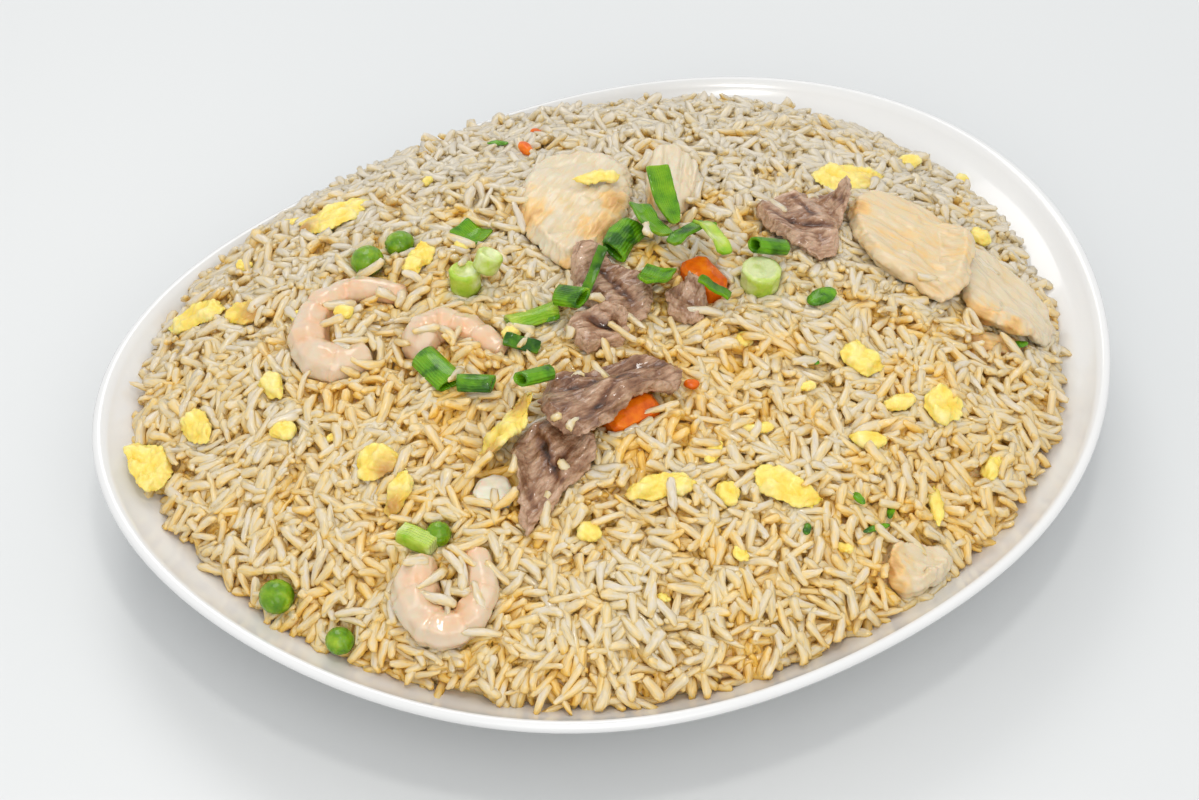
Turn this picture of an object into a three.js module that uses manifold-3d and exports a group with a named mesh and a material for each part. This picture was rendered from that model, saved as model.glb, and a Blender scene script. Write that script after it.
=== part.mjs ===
// A plate of fried rice with shrimp, chicken, beef, egg, peas, carrot and green onion.
// Millimetres, +Z up. +X is the diner's right, +Y points away from the diner, and the
// origin lies on the table under the middle of the plate.
import * as THREE from 'three';
import { mergeVertices } from 'three/addons/utils/BufferGeometryUtils.js';
import Module from 'manifold-3d';

const wasm = await Module();
wasm.setup();

// ---------------------------------------------------------------- driving dimensions
const GAP = 0.35;                  // clearance between two pieces that touch

const PLATE_RADIUS = 126.8;        // mean radius of the rim
const PLATE_CENTRE = [4.4, -1.0];  // centre of the rim's curve in the part's frame
const RIM_LOBES = [                // slow waves that make the rim a lopsided oval
  { lobes: 2, swell: 12.5, turn: 35 },
  { lobes: 3, swell: 3.8, turn: 60 },
  { lobes: 4, swell: 0.9, turn: 84 },
  { lobes: 5, swell: 0.95, turn: 46 },
];
const RIM_HEIGHT = 32;
const WELL_HEIGHT = 7;             // top of the flat well
const WELL_SHARE = 0.42;           // edge of the well, as a share of the rim radius
const WALL_CURVE = 1.6;            // how the wall sweeps up from the well
const WALL_THICKNESS = 3.6;
const RIM_LIP = [                  // the rounded lip: share of the rim radius, drop from its top
  [0.982, 0],
  [0.995, 0.2],
  [1, 1],
  [0.996, 2.4],
];
const FOOT_INNER = 0.5;            // foot ring, as shares of the rim radius
const FOOT_OUTER = 0.55;
const FOOT_TAPER = 0.015;
const PLATE_SECTORS = 44;

const RICE_SHARE = 0.92;           // edge of the rice, as a share of the rim radius
const RICE_LOBES = [               // the heap leans to the far left and to the right
  { lobes: 1, swell: 0.02, turn: 163 },
  { lobes: 2, swell: 0.023, turn: 126 },
  { lobes: 3, swell: 0.007, turn: 13 },
];
const RICE_PEAK = 61;              // top of the heap above the table
const RICE_CROWN = 2.2;            // flatness of the heap's top
const RICE_SHOULDER = 0.7;         // steepness of the heap's edge
const RICE_RINGS = 25;             // rings of surface points, about half a grain apart
const RICE_LIFT = 0.8;             // gap from the plate's curve to the rice above it
const RICE_MIN = 1.1;              // thinnest rice left under a topping
const GRAIN = { length: 8, width: 2.4 };
const GRAIN_BUMP = 1.0;            // height of the bumps that grains make
const HUMP_HEIGHT = 1.6;           // the heap's slow humps
const HUMP_WAVES = [9, 11, 17, 13];
const LOOSE_GRAINS = 26;
const SCRAP_HEIGHT = 1.9;          // how far a scrap of egg or leaf stands out of the rice
const SCRAP_CLEARANCE = 1.6;       // from a scrap or a loose grain to any topping

const MAX_SLOPE = 0.45;            // steepest lie of a rigid topping

// ---------------------------------------------------------------- small helpers
const MERGE_DISTANCE = 1e-4;
const radians = THREE.MathUtils.degToRad;
const { clamp, lerp } = THREE.MathUtils;
const CROSSWISE = new THREE.Vector3(0, 1, 0);
const UPWARD = new THREE.Vector3(0, 0, 1);

function randomFrom(seed) {
  let state = seed;
  return () => {
    state = (state + 0x6d2b79f5) | 0;
    let mixed = Math.imul(state ^ (state >>> 15), 1 | state);
    mixed = (mixed + Math.imul(mixed ^ (mixed >>> 7), 61 | mixed)) ^ mixed;
    return ((mixed ^ (mixed >>> 14)) >>> 0) / 4294967296;
  };
}

function lobed(base, waves, angle) {
  return waves.reduce(
    (sum, wave) => sum + wave.swell * Math.cos(wave.lobes * (angle - radians(wave.turn))),
    base,
  );
}

// A closed skin lofted through rows of points. Each row goes once round, and the first
// and the last row may be single points. Faces are turned outward by the volume's sign.
function loft(rows) {
  const starts = [];
  const points = [];
  for (const row of rows) {
    starts.push(points.length);
    points.push(...row);
  }
  const faces = [];
  for (let r = 0; r + 1 < rows.length; r += 1) {
    const [near, far] = [rows[r].length, rows[r + 1].length];
    let [i, j] = [0, 0];
    while (i < near || j < far) {
      const a = starts[r] + (i % near);
      const b = starts[r + 1] + (j % far);
      const nearIsBehind = far === 1 || j >= far || (i + 1) / near < (j + 1) / far;
      if (near > 1 && i < near && nearIsBehind) {
        i += 1;
        faces.push([a, b, starts[r] + (i % near)]);
      } else if (far > 1 && j < far) {
        j += 1;
        faces.push([a, b, starts[r + 1] + (j % far)]);
      } else {
        break;
      }
    }
  }
  return skin(points, faces);
}

function skin(points, faces) {
  let volume = 0;
  for (const [a, b, c] of faces) {
    volume += points[a].dot(points[b].clone().cross(points[c]));
  }
  const geometry = new THREE.BufferGeometry();
  geometry.setAttribute(
    'position',
    new THREE.Float32BufferAttribute(points.flatMap((p) => [p.x, p.y, p.z]), 3),
  );
  geometry.setIndex(faces.flatMap(([a, b, c]) => (volume < 0 ? [a, c, b] : [a, b, c])));
  return geometry;
}

function middleOf(points) {
  return points.reduce((sum, p) => sum.add(p), new THREE.Vector3()).divideScalar(points.length);
}

// A closed row of points on an ellipse, in the plane of two unit vectors.
function ellipseRow(centre, across, upward, halfWidth, halfHeight, sides) {
  return Array.from({ length: sides }, (_, k) => {
    const angle = (2 * Math.PI * k) / sides;
    return centre.clone()
      .addScaledVector(across, halfWidth * Math.cos(angle))
      .addScaledVector(upward, halfHeight * Math.sin(angle));
  });
}

// ---------------------------------------------------------------- plate
function rimRadius(angle) {
  return lobed(PLATE_RADIUS, RIM_LOBES, angle);
}

function plateWall(share) {
  const rise = Math.max(0, (share - WELL_SHARE) / (1 - WELL_SHARE));
  return WELL_HEIGHT + (RIM_HEIGHT - WELL_HEIGHT) * rise ** WALL_CURVE;
}

function polar(x, y) {
  const [dx, dy] = [x - PLATE_CENTRE[0], y - PLATE_CENTRE[1]];
  return { radius: Math.hypot(dx, dy), angle: Math.atan2(dy, dx) };
}

function plateHeight(x, y) {
  const { radius, angle } = polar(x, y);
  return plateWall(radius / rimRadius(angle));
}

function plateRow(share, z, sectors = PLATE_SECTORS) {
  return Array.from({ length: sectors }, (_, k) => {
    const angle = (2 * Math.PI * k) / sectors;
    const radius = share * rimRadius(angle);
    return new THREE.Vector3(
      PLATE_CENTRE[0] + radius * Math.cos(angle),
      PLATE_CENTRE[1] + radius * Math.sin(angle),
      z,
    );
  });
}

const INNER_SHARES = [WELL_SHARE, 0.55, 0.67, 0.78, 0.88, 0.965];
const OUTER_SHARES = [0.96, 0.88, 0.78, 0.67];

function makePlate() {
  const centre = (z) => [new THREE.Vector3(PLATE_CENTRE[0], PLATE_CENTRE[1], z)];
  const underside = (share) => plateWall(share) - WALL_THICKNESS;
  return loft([
    centre(WELL_HEIGHT),
    ...INNER_SHARES.map((share) => plateRow(share, plateWall(share))),
    ...RIM_LIP.map(([share, drop]) => plateRow(share, RIM_HEIGHT - drop)),
    ...OUTER_SHARES.map((share) => plateRow(share, underside(share))),
    plateRow(FOOT_OUTER + FOOT_TAPER, underside(FOOT_OUTER + FOOT_TAPER)),
    plateRow(FOOT_OUTER, 0),
    plateRow(FOOT_INNER, 0),
    plateRow(FOOT_INNER - FOOT_TAPER, underside(FOOT_INNER - FOOT_TAPER)),
    centre(underside(0)),
  ]);
}

// ---------------------------------------------------------------- the bare heap
function riceShare(angle) {
  return lobed(RICE_SHARE, RICE_LOBES, angle);
}

function heapHeight(x, y) {
  const { radius, angle } = polar(x, y);
  const share = riceShare(angle);
  const out = radius / (share * rimRadius(angle));
  const edge = plateWall(share) + RICE_LIFT;
  if (out >= 1) return edge;
  const [a, b, c, d] = HUMP_WAVES;
  const short = Math.sin(x / a + 1.3) * Math.cos(y / b - 0.4);
  const long = Math.sin(x / c - y / d);
  const humps = HUMP_HEIGHT * (1 - out) ** 0.3 * (0.6 * short + 0.4 * long);
  return edge + (RICE_PEAK - edge) * (1 - out ** RICE_CROWN) ** RICE_SHOULDER + humps;
}

// ---------------------------------------------------------------- what lies where
// Two maps of the plate seen from above: the tops of the toppings laid so far, and their
// undersides. A new piece lies on the first, and the rice is pressed down by the second.
const CELL = 0.7;
const MAP_WIDTH = 290;
const MAP_SIDE = Math.ceil(MAP_WIDTH / CELL);
const toCell = (v) => Math.round(v / CELL + MAP_SIDE / 2);
const fromCell = (c) => (c - MAP_SIDE / 2) * CELL;

class SurfaceMap {
  constructor(pick, empty) {
    this.pick = pick;
    this.empty = empty;
    this.z = new Float32Array(MAP_SIDE * MAP_SIDE).fill(empty);
  }

  paint(geometry) {
    const position = geometry.attributes.position;
    const index = geometry.index;
    const corner = (k) => new THREE.Vector3().fromBufferAttribute(position, index.getX(k));
    for (let k = 0; k < index.count; k += 3) {
      this.paintFace(corner(k), corner(k + 1), corner(k + 2));
    }
    return this;
  }

  paintFace(a, b, c) {
    const area = (b.x - a.x) * (c.y - a.y) - (c.x - a.x) * (b.y - a.y);
    if (Math.abs(area) < 1e-6) return;
    const slack = -0.02;
    for (let j = toCell(Math.min(a.y, b.y, c.y)); j <= toCell(Math.max(a.y, b.y, c.y)); j += 1) {
      for (let i = toCell(Math.min(a.x, b.x, c.x)); i <= toCell(Math.max(a.x, b.x, c.x)); i += 1) {
        const [x, y] = [fromCell(i), fromCell(j)];
        const v = ((x - a.x) * (c.y - a.y) - (c.x - a.x) * (y - a.y)) / area;
        const w = ((b.x - a.x) * (y - a.y) - (x - a.x) * (b.y - a.y)) / area;
        if (v < slack || w < slack || v + w > 1 - slack) continue;
        const cell = j * MAP_SIDE + i;
        this.z[cell] = this.pick(this.z[cell], a.z + v * (b.z - a.z) + w * (c.z - a.z));
      }
    }
  }

  // The highest (or lowest) value within a distance of a point.
  within(x, y, distance) {
    const span = Math.ceil(distance / CELL);
    const [ci, cj] = [toCell(x), toCell(y)];
    let found = this.empty;
    for (let j = cj - span; j <= cj + span; j += 1) {
      for (let i = ci - span; i <= ci + span; i += 1) {
        if (Math.hypot(i - ci, j - cj) > span) continue;
        found = this.pick(found, this.z[j * MAP_SIDE + i]);
      }
    }
    return found;
  }

  *cells() {
    for (let cell = 0; cell < this.z.length; cell += 1) {
      if (this.z[cell] !== this.empty) {
        yield [fromCell(cell % MAP_SIDE), fromCell(Math.floor(cell / MAP_SIDE)), this.z[cell]];
      }
    }
  }
}

const tops = new SurfaceMap(Math.max, -Infinity);
const undersides = new SurfaceMap(Math.min, Infinity);

// Height that a piece may come down to: pressed a little into the rice, clear of the
// toppings below it and of the plate.
function bedHeight(x, y, sink, reach = CELL) {
  const floor = plateHeight(x, y) + RICE_LIFT + RICE_MIN + GAP;
  return Math.max(heapHeight(x, y) - sink, floor, tops.within(x, y, reach) + GAP);
}

// Raises or lowers a finished piece until it just clears what is under it.
function layDown(geometry, sink, mayDrop) {
  let lift = mayDrop ? -Infinity : 0;
  for (const [x, y, z] of new SurfaceMap(Math.min, Infinity).paint(geometry).cells()) {
    lift = Math.max(lift, bedHeight(x, y, sink, 1.5 * CELL) - z);
  }
  geometry.translate(0, 0, lift);
  tops.paint(geometry);
  undersides.paint(geometry);
  return geometry;
}

// A rigid piece made round the origin is turned, tilted with the surface it lies on,
// moved to its place and laid down.
const SETTLE_SPAN = 5;             // how far out the lie of the bed is felt

function settle(geometry, { at, turn = 0, roll = 0, sink = 1 }) {
  const heading = new THREE.Vector2(1, 0).rotateAround(new THREE.Vector2(), radians(turn));
  const side = new THREE.Vector2(-heading.y, heading.x);
  const slope = (d) => {
    const bed = (way) => bedHeight(at[0] + way * d.x, at[1] + way * d.y, sink, 1);
    const rise = bed(SETTLE_SPAN) - bed(-SETTLE_SPAN);
    return clamp(rise / (2 * SETTLE_SPAN), -MAX_SLOPE, MAX_SLOPE);
  };
  const forward = new THREE.Vector3(heading.x, heading.y, slope(heading)).normalize();
  const sideways = new THREE.Vector3(side.x, side.y, slope(side));
  const normal = forward.clone().cross(sideways).normalize();
  const across = normal.clone().cross(forward);
  geometry.rotateX(radians(roll));
  geometry.applyMatrix4(new THREE.Matrix4().makeBasis(forward, across, normal));
  geometry.translate(at[0], at[1], 0);
  return layDown(geometry, sink, true);
}

// ---------------------------------------------------------------- slices and lumps
// A slice of meat or a flake of egg: a soft-edged sheet that drapes over its bed.
// Its ripples run across the grain, a pitch apart.
const DRAPE_REACH = 3;
const DIMPLE = 0.08;               // unevenness of its top, as a share of its thickness
const EDGE_LEVEL = 0.45;           // height of its widest line, as a share of its thickness
const FINE_OUTLINE = 12;           // outlines with more points than this get two inner rows

function drape({ outline, thick, sink = 1, wave = 0, grain = 0, pitch = 12, points = 18, seed = 1 }) {
  const random = randomFrom(seed);
  const corners = outline.map(([x, y]) => new THREE.Vector3(x, y, 0));
  const edge = new THREE.CatmullRomCurve3(corners, true).getSpacedPoints(points).slice(0, points);
  const middle = middleOf(edge);
  const phase = 2 * Math.PI * random();
  const lean = radians(grain);
  const ripple = (p) => {
    const along = p.x * Math.cos(lean) + p.y * Math.sin(lean);
    return wave * (0.5 + 0.5 * Math.sin((2 * Math.PI * along) / pitch + phase));
  };
  const lift = (p, level) => {
    const dimple = level === 1 ? (2 * random() - 1) * DIMPLE * thick : 0;
    return p.setZ(bedHeight(p.x, p.y, sink, DRAPE_REACH) + ripple(p) + level * thick + dimple);
  };
  const row = (share, level) => edge.map((rim) => lift(middle.clone().lerp(rim, share), level));
  const inner = points > FINE_OUTLINE ? [0.48, 0.86] : [0.66];
  const rows = [
    [lift(middle.clone(), 1)],
    ...inner.map((share) => row(share, 1)),
    row(1, EDGE_LEVEL),
    ...inner.slice().reverse().map((share) => row(share, 0)),
    [lift(middle.clone(), 0)],
  ];
  return layDown(loft(rows), sink, false);
}

// An uneven oval outline, for flakes of egg and other scraps.
const SCRAP_CORNERS = 8;

function scrapOutline({ at, length, width, turn = 0, bend = 0 }, seed) {
  const random = randomFrom(seed);
  return Array.from({ length: SCRAP_CORNERS }, (_, k) => {
    const angle = (2 * Math.PI * k) / SCRAP_CORNERS;
    const uneven = lerp(0.82, 1.18, random());
    const along = (length / 2) * Math.cos(angle) * uneven;
    const side = (width / 2) * Math.sin(angle) * uneven + bend * ((2 * along) / length) ** 2;
    const point = new THREE.Vector2(along, side).rotateAround(new THREE.Vector2(), radians(turn));
    return [at[0] + point.x, at[1] + point.y];
  });
}

// ---------------------------------------------------------------- shrimp
const SHRIMP_RINGS = 13;
const SHRIMP_SIDES = 8;
const SHRIMP_SEGMENTS = 5;
const SHRIMP_SWELL = 0.07;         // how far each segment swells, as a share of the girth
const SHRIMP_TAIL = 0.5;           // girth at the tail, as a share of the neck's
const SHRIMP_HEIGHT = 0.86;        // its section's height, as a share of its width
const SHRIMP_CAP = 1.5;            // how far its ends are rounded out

// A peeled, curled shrimp: fat at the neck, ringed by its segments, thin at the tail.
function makeShrimp({ spine, girth, sink }) {
  const curve = new THREE.CatmullRomCurve3(spine.map(([x, y]) => new THREE.Vector3(x, y, 0)));
  const rows = [];
  for (let k = 0; k <= SHRIMP_RINGS; k += 1) {
    const t = k / SHRIMP_RINGS;
    const here = curve.getPointAt(t);
    const along = curve.getTangentAt(t);
    const fromNeck = Math.min(1, 4 * (t + 0.06));
    const blunt = Math.sqrt(1 - (1 - fromNeck) ** 2);
    const ringed = 1 + SHRIMP_SWELL * Math.cos(2 * Math.PI * SHRIMP_SEGMENTS * t);
    const half = (girth / 2) * lerp(1, SHRIMP_TAIL, t ** 1.6) * blunt * ringed;
    const across = new THREE.Vector3(-along.y, along.x, 0).normalize();
    here.z = heapHeight(here.x, here.y) + half * 0.8;
    rows.push(ellipseRow(here, across, UPWARD, half, half * SHRIMP_HEIGHT, SHRIMP_SIDES));
  }
  const cap = (row, toward) => [middleOf(row).addScaledVector(toward, SHRIMP_CAP)];
  rows.unshift(cap(rows[0], curve.getTangentAt(0).negate()));
  rows.push(cap(rows[rows.length - 1], curve.getTangentAt(1)));
  return layDown(loft(rows), sink, true);
}

// ---------------------------------------------------------------- round and cut pieces
function makePea({ size, dent = 0 }) {
  const geometry = new THREE.SphereGeometry(size / 2, 10, 6);
  geometry.scale(1, 0.96, 0.9 - dent);
  geometry.deleteAttribute('normal');
  geometry.deleteAttribute('uv');
  return mergeVertices(geometry, MERGE_DISTANCE);
}

// A diced or batonned piece with its edges worn round.
const CHUNK_WEAR = 0.09;           // how far its top and bottom edges are worn in
const CHUNK_UNEVEN = 0.04;

function makeChunk({ length, width, height, seed = 3, round = 0.2 }) {
  const random = randomFrom(seed);
  const cut = round * Math.min(length, width);
  const row = (z, inset) => {
    const corners = [[1, 1], [-1, 1], [-1, -1], [1, -1]];
    return corners.flatMap(([cx, cy]) => {
      const [x, y] = [cx * length * (0.5 - inset), cy * width * (0.5 - inset)];
      const pair = [[x, y - cy * cut], [x - cx * cut, y]];
      if (cx * cy < 0) pair.reverse();
      return pair.map(([px, py]) => {
        const uneven = (2 * random() - 1) * CHUNK_UNEVEN * height;
        return new THREE.Vector3(px, py, z + uneven);
      });
    });
  };
  const pole = (z) => [new THREE.Vector3(0, 0, z)];
  const half = height / 2;
  return loft([
    pole(half),
    row(half, CHUNK_WEAR),
    row(half * 0.6, 0),
    row(-half * 0.6, 0),
    row(-half, CHUNK_WEAR),
    pole(-half),
  ]);
}

// ---------------------------------------------------------------- green onion
// A length of hollow leaf, pressed flat: an open tube with a real wall.
const LEAF_WALL = 0.9;
const LEAF_SIDES = 8;
const LEAF_SLANT = 0.32;           // slant of its cut ends

function makeLeafTube({ length, width, height, bend = 0 }) {
  const stops = bend ? [-0.5, 0, 0.5] : [-0.5, 0.5];
  const ring = (t, inset) => {
    const centre = new THREE.Vector3(t * length, 4 * bend * t * t, 0);
    const [halfWidth, halfHeight] = [width / 2 - inset, height / 2 - inset];
    const row = ellipseRow(centre, CROSSWISE, UPWARD, halfWidth, halfHeight, LEAF_SIDES);
    return row.map((p) => p.setX(p.x + LEAF_SLANT * t * p.y));
  };
  const outside = stops.map((t) => ring(t, 0));
  const inside = stops.map((t) => ring(t, LEAF_WALL)).reverse();
  return mergeVertices(loft([...outside, ...inside, outside[0]]), MERGE_DISTANCE);
}

// A strip of leaf: thin, cupped across and wavy along, both faces split alike.
const STRIP_STEPS = 5;
const STRIP_WAVE = 0.25;
const STRIP_END = 0.3;

function makeLeafStrip({ length, width, curl = 0, cup = 0.8, point = 0 }) {
  const rows = [];
  for (let k = 0; k <= STRIP_STEPS; k += 1) {
    const t = k / STRIP_STEPS - 0.5;
    const half = (width / 2) * (1 - point * Math.max(0, 2 * t) ** 2);
    const rise = 4 * curl * t * t + STRIP_WAVE * Math.sin(1.9 * k);
    const section = [
      [-half, cup], [0, 0], [half, cup],
      [half, cup + LEAF_WALL], [0, LEAF_WALL], [-half, cup + LEAF_WALL],
    ];
    rows.push(section.map(([y, z]) => new THREE.Vector3(length * t, y, rise + z)));
  }
  const end = (row, shift) => [middleOf(row).add(new THREE.Vector3(shift, 0, 0))];
  return loft([end(rows[0], -STRIP_END), ...rows, end(rows[STRIP_STEPS], STRIP_END)]);
}

// A slice across the stem: a short round plug with a hollowed middle.
const STEM_SIDES = 10;
const STEM_PROFILE = [             // from its hollow to its wall: share of the radius, drop
  [0.5, 0.7],
  [0.8, 0],
  [1, 0.5],
];

function makeStemSlice({ size, depth }) {
  const lengthwise = new THREE.Vector3(1, 0, 0);
  const half = size / 2;
  const row = (share, z) => {
    const centre = new THREE.Vector3(0, 0, z);
    return ellipseRow(centre, lengthwise, CROSSWISE, share * half, share * half, STEM_SIDES);
  };
  const pole = (z) => [new THREE.Vector3(0, 0, z)];
  return loft([
    pole(depth / 2 - 0.9),
    ...STEM_PROFILE.map(([share, drop]) => row(share, depth / 2 - drop)),
    row(0.97, -depth / 2),
    pole(-depth / 2),
  ]);
}

// ---------------------------------------------------------------- the menu of toppings
// Places are in the part's frame; turns are degrees from +X, counter-clockwise from above.
const SHRIMP = [
  { name: 'shrimp_left', girth: 12, sink: 4.5,
    spine: [[-61, -22], [-69, -26], [-76, -18], [-75, -4], [-67, 2], [-53, -2]] },
  { name: 'shrimp_middle', girth: 11, sink: 4.5, spine: [[-49, -24], [-45, -16], [-37, -17], [-27, -26]] },
  { name: 'shrimp_front', girth: 12, sink: 4,
    spine: [[-45, -85], [-46, -94], [-41, -101], [-35, -101], [-30, -94], [-32, -84]] },
];

const CHICKEN = [
  { name: 'chicken_sliver', thick: 2.5, sink: 2.5, points: 12,
    outline: [[93, -4], [100, 0], [108, 1], [107, -3], [100, -7], [95, -8]] },
  { name: 'chicken_fold', thick: 5.5, sink: 1.5, wave: 1, grain: 0, pitch: 5,
    outline: [[11, 52], [17, 58], [23, 50], [24, 40], [21, 28], [17, 22], [12, 24], [10, 36]] },
  { name: 'chicken_top', thick: 6, sink: 1.5, wave: 1.2, grain: 65, pitch: 26, points: 22,
    outline: [[-18, 51], [-6, 54], [4, 48], [6, 33], [2, 18], [-4, 4], [-10, 0], [-18, 10],
      [-24, 25], [-22, 40]] },
  { name: 'chicken_end', thick: 5, sink: 1, wave: 1, grain: 40, pitch: 18,
    outline: [[96, 30], [104, 28], [113, 22], [118, 16], [116, 4], [109, -2], [100, -2], [93, 4],
      [93, 18]] },
  { name: 'chicken_right', thick: 6, sink: 1, wave: 1.2, grain: 60, pitch: 24, points: 22,
    outline: [[64, 36], [72, 40], [84, 38], [94, 30], [96, 20], [92, 6], [86, 2], [78, 6],
      [68, 12], [64, 22]] },
  { name: 'chicken_front', thick: 6, sink: 3, points: 14,
    outline: [[66, -80], [68, -75], [75, -72], [83, -71], [82, -76], [76, -81], [70, -83]] },
];

const BEEF = [
  { name: 'beef_centre', thick: 4, sink: 1.5, wave: 1.5, grain: 20, pitch: 11,
    outline: [[-9, 3], [-2, 4], [4, -1], [10, -5], [11, -13], [8, -19], [2, -19], [-5, -14],
      [-10, -5]] },
  { name: 'beef_small', thick: 4, sink: 1.2, wave: 1, grain: 80, pitch: 12, points: 14,
    outline: [[15, -8], [19, -6], [24, -9], [25, -14], [21, -20], [17, -18], [14, -14]] },
  { name: 'beef_front', thick: 4, sink: 1.8, wave: 2.2, grain: 20, pitch: 10,
    outline: [[-19, -52], [-24, -58], [-23, -68], [-22, -76], [-20, -82], [-15, -76], [-10, -70],
      [-4, -64], [-3, -58], [-10, -50]] },
  { name: 'beef_curl', thick: 4.5, sink: 0.5, wave: 2, grain: 10, pitch: 12, points: 16,
    outline: [[-11, -22], [-7, -19], [0, -19], [5, -22], [4, -26], [-1, -28], [-6, -32], [-9, -27]] },
  { name: 'beef_right', thick: 4.5, sink: 1.2, wave: 2.6, grain: 30, pitch: 12, points: 20,
    outline: [[38, 27], [46, 34], [54, 36], [63, 39], [64, 30], [60, 21], [59, 11], [54, 8],
      [46, 13], [40, 19]] },
  { name: 'beef_top', thick: 4, sink: 0.5, wave: 1.8, grain: 70, pitch: 13, points: 22,
    outline: [[-15, -41], [-7, -38], [1, -35], [10, -32], [17, -36], [18, -41], [10, -47], [2, -54],
      [-5, -62], [-13, -60], [-18, -51]] },
];

const EGG = [
  { name: 'egg_back_left', at: [-74, 40], length: 22, width: 15, turn: 27, bend: 1 },
  { name: 'egg_left', at: [-109, 9], length: 17, width: 11, turn: -18 },
  { name: 'egg_browned', at: [-95, 1], length: 10, width: 10, turn: 60 },
  { name: 'egg_small_left', at: [-85, -29], length: 11, width: 7, turn: -60 },
  { name: 'egg_outer_left', at: [-104, -34], length: 14, width: 8, turn: -60 },
  { name: 'egg_edge', at: [-117, -40], length: 21, width: 11, turn: -66 },
  { name: 'egg_front_left', at: [-57, -59], length: 13, width: 11, turn: -30 },
  { name: 'egg_strip_left', at: [-51, -69], length: 12, width: 6, turn: -112 },
  { name: 'egg_behind_shrimp', at: [-50, 8], length: 15, width: 8, turn: 62 },
  { name: 'egg_folded', at: [-26, -57], length: 20, width: 10, turn: 55, thick: 4.5 },
  { name: 'egg_back_right', at: [65, 52], length: 25, width: 15, turn: 20, bend: 2 },
  { name: 'egg_front_strip', at: [12, -69], length: 23, width: 7, turn: 16, bend: -1 },
  { name: 'egg_front_right', at: [43, -67], length: 20, width: 9.5, turn: -16, bend: 1.5 },
  { name: 'egg_hook', at: [63, -24], length: 13, width: 11, turn: -44 },
  { name: 'egg_right', at: [83, -34], length: 13, width: 10, turn: 57 },
];

const EGG_ON_CHICKEN = {
  name: 'egg_on_chicken', at: [-3, 34], length: 14, width: 6, turn: 13, thick: 2.2, sink: 0,
};

const SCALLION = [
  { name: 'scallion_stalk', kind: 'strip', at: [-4, -6], turn: -108, length: 15,
    width: 2.6, cup: 0.2 },
  { name: 'scallion_dark', kind: 'tube', at: [3, 10], turn: -116, length: 13, width: 8,
    height: 3.6, bend: 1 },
  { name: 'scallion_centre', kind: 'strip', at: [11, -10], turn: -110, length: 13,
    width: 8, curl: 1, point: 0.5 },
  { name: 'scallion_leaf_low', kind: 'strip', at: [10, 14], turn: -67, length: 15,
    width: 6.5, curl: 0.6 },
  { name: 'scallion_leaf_high', kind: 'strip', at: [14, 24], turn: -73, length: 17,
    width: 6.5, curl: 0.8, point: 0.6 },
  { name: 'scallion_bow', kind: 'strip', at: [21, 8], turn: 44, length: 13.5, width: 5.5,
    curl: -1.2 },
  { name: 'scallion_half_ring', kind: 'strip', at: [26, 1.5], turn: -65, length: 14,
    width: 4.6, curl: -1.4 },
  { name: 'scallion_on_carrot', kind: 'strip', at: [26, -12], turn: -20, length: 9,
    width: 3, cup: 0.2 },
  { name: 'scallion_ring', kind: 'slice', at: [38.5, -1], turn: -26, size: 10.6, depth: 6 },
  { name: 'scallion_tube_right', kind: 'tube', at: [41, 5], turn: 24, length: 10,
    width: 5.4, height: 4.4 },
  { name: 'scallion_cube', kind: 'strip', at: [-36, 19], turn: -40, length: 9, width: 7,
    curl: 1.2 },
  { name: 'scallion_pale', kind: 'slice', at: [-37, -1], turn: 30, size: 8.4, depth: 6.5 },
  { name: 'scallion_pale_small', kind: 'slice', at: [-31, -1], turn: 20, size: 7, depth: 5 },
  { name: 'scallion_long_slice', kind: 'tube', at: [-19, -17], turn: 22, length: 13,
    width: 6, height: 3.8, bend: 0.8 },
  { name: 'scallion_knot', kind: 'tube', at: [-10, -16], turn: -40, length: 9, width: 6.5,
    height: 3.6 },
  { name: 'scallion_wedge', kind: 'strip', at: [-22, -26], turn: -14, length: 9,
    width: 3.6, cup: 0.3 },
  { name: 'scallion_wide_tube', kind: 'tube', at: [-43, -33], turn: -56, length: 14,
    width: 7.6, height: 3.6 },
  { name: 'scallion_dark_left', kind: 'tube', at: [-33, -42], turn: -10, length: 9,
    width: 5.4, height: 3.4 },
  { name: 'scallion_dark_right', kind: 'tube', at: [-18, -47], turn: 34, length: 9,
    width: 5.6, height: 4 },
];

const PEAS = [
  { name: 'pea_back', at: [-63, 11], size: 9.4 },
  { name: 'pea_back_small', at: [-55, 18], size: 8.4, dent: 0.1 },
  { name: 'pea_front', at: [-80, -86], size: 9.2 },
  { name: 'pea_shrimp', at: [-41, -78.5], size: 6.6 },
  { name: 'pea_edge', at: [-64, -99], size: 7.4 },
];

const CARROT = [
  { name: 'carrot_front', at: [5, -48], turn: 34, length: 14, width: 7, height: 7, sink: 5, roll: 20 },
  { name: 'carrot_back', at: [24, -1], turn: -58, length: 13, width: 8, height: 7, sink: 4.5, roll: 10 },
];

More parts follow.
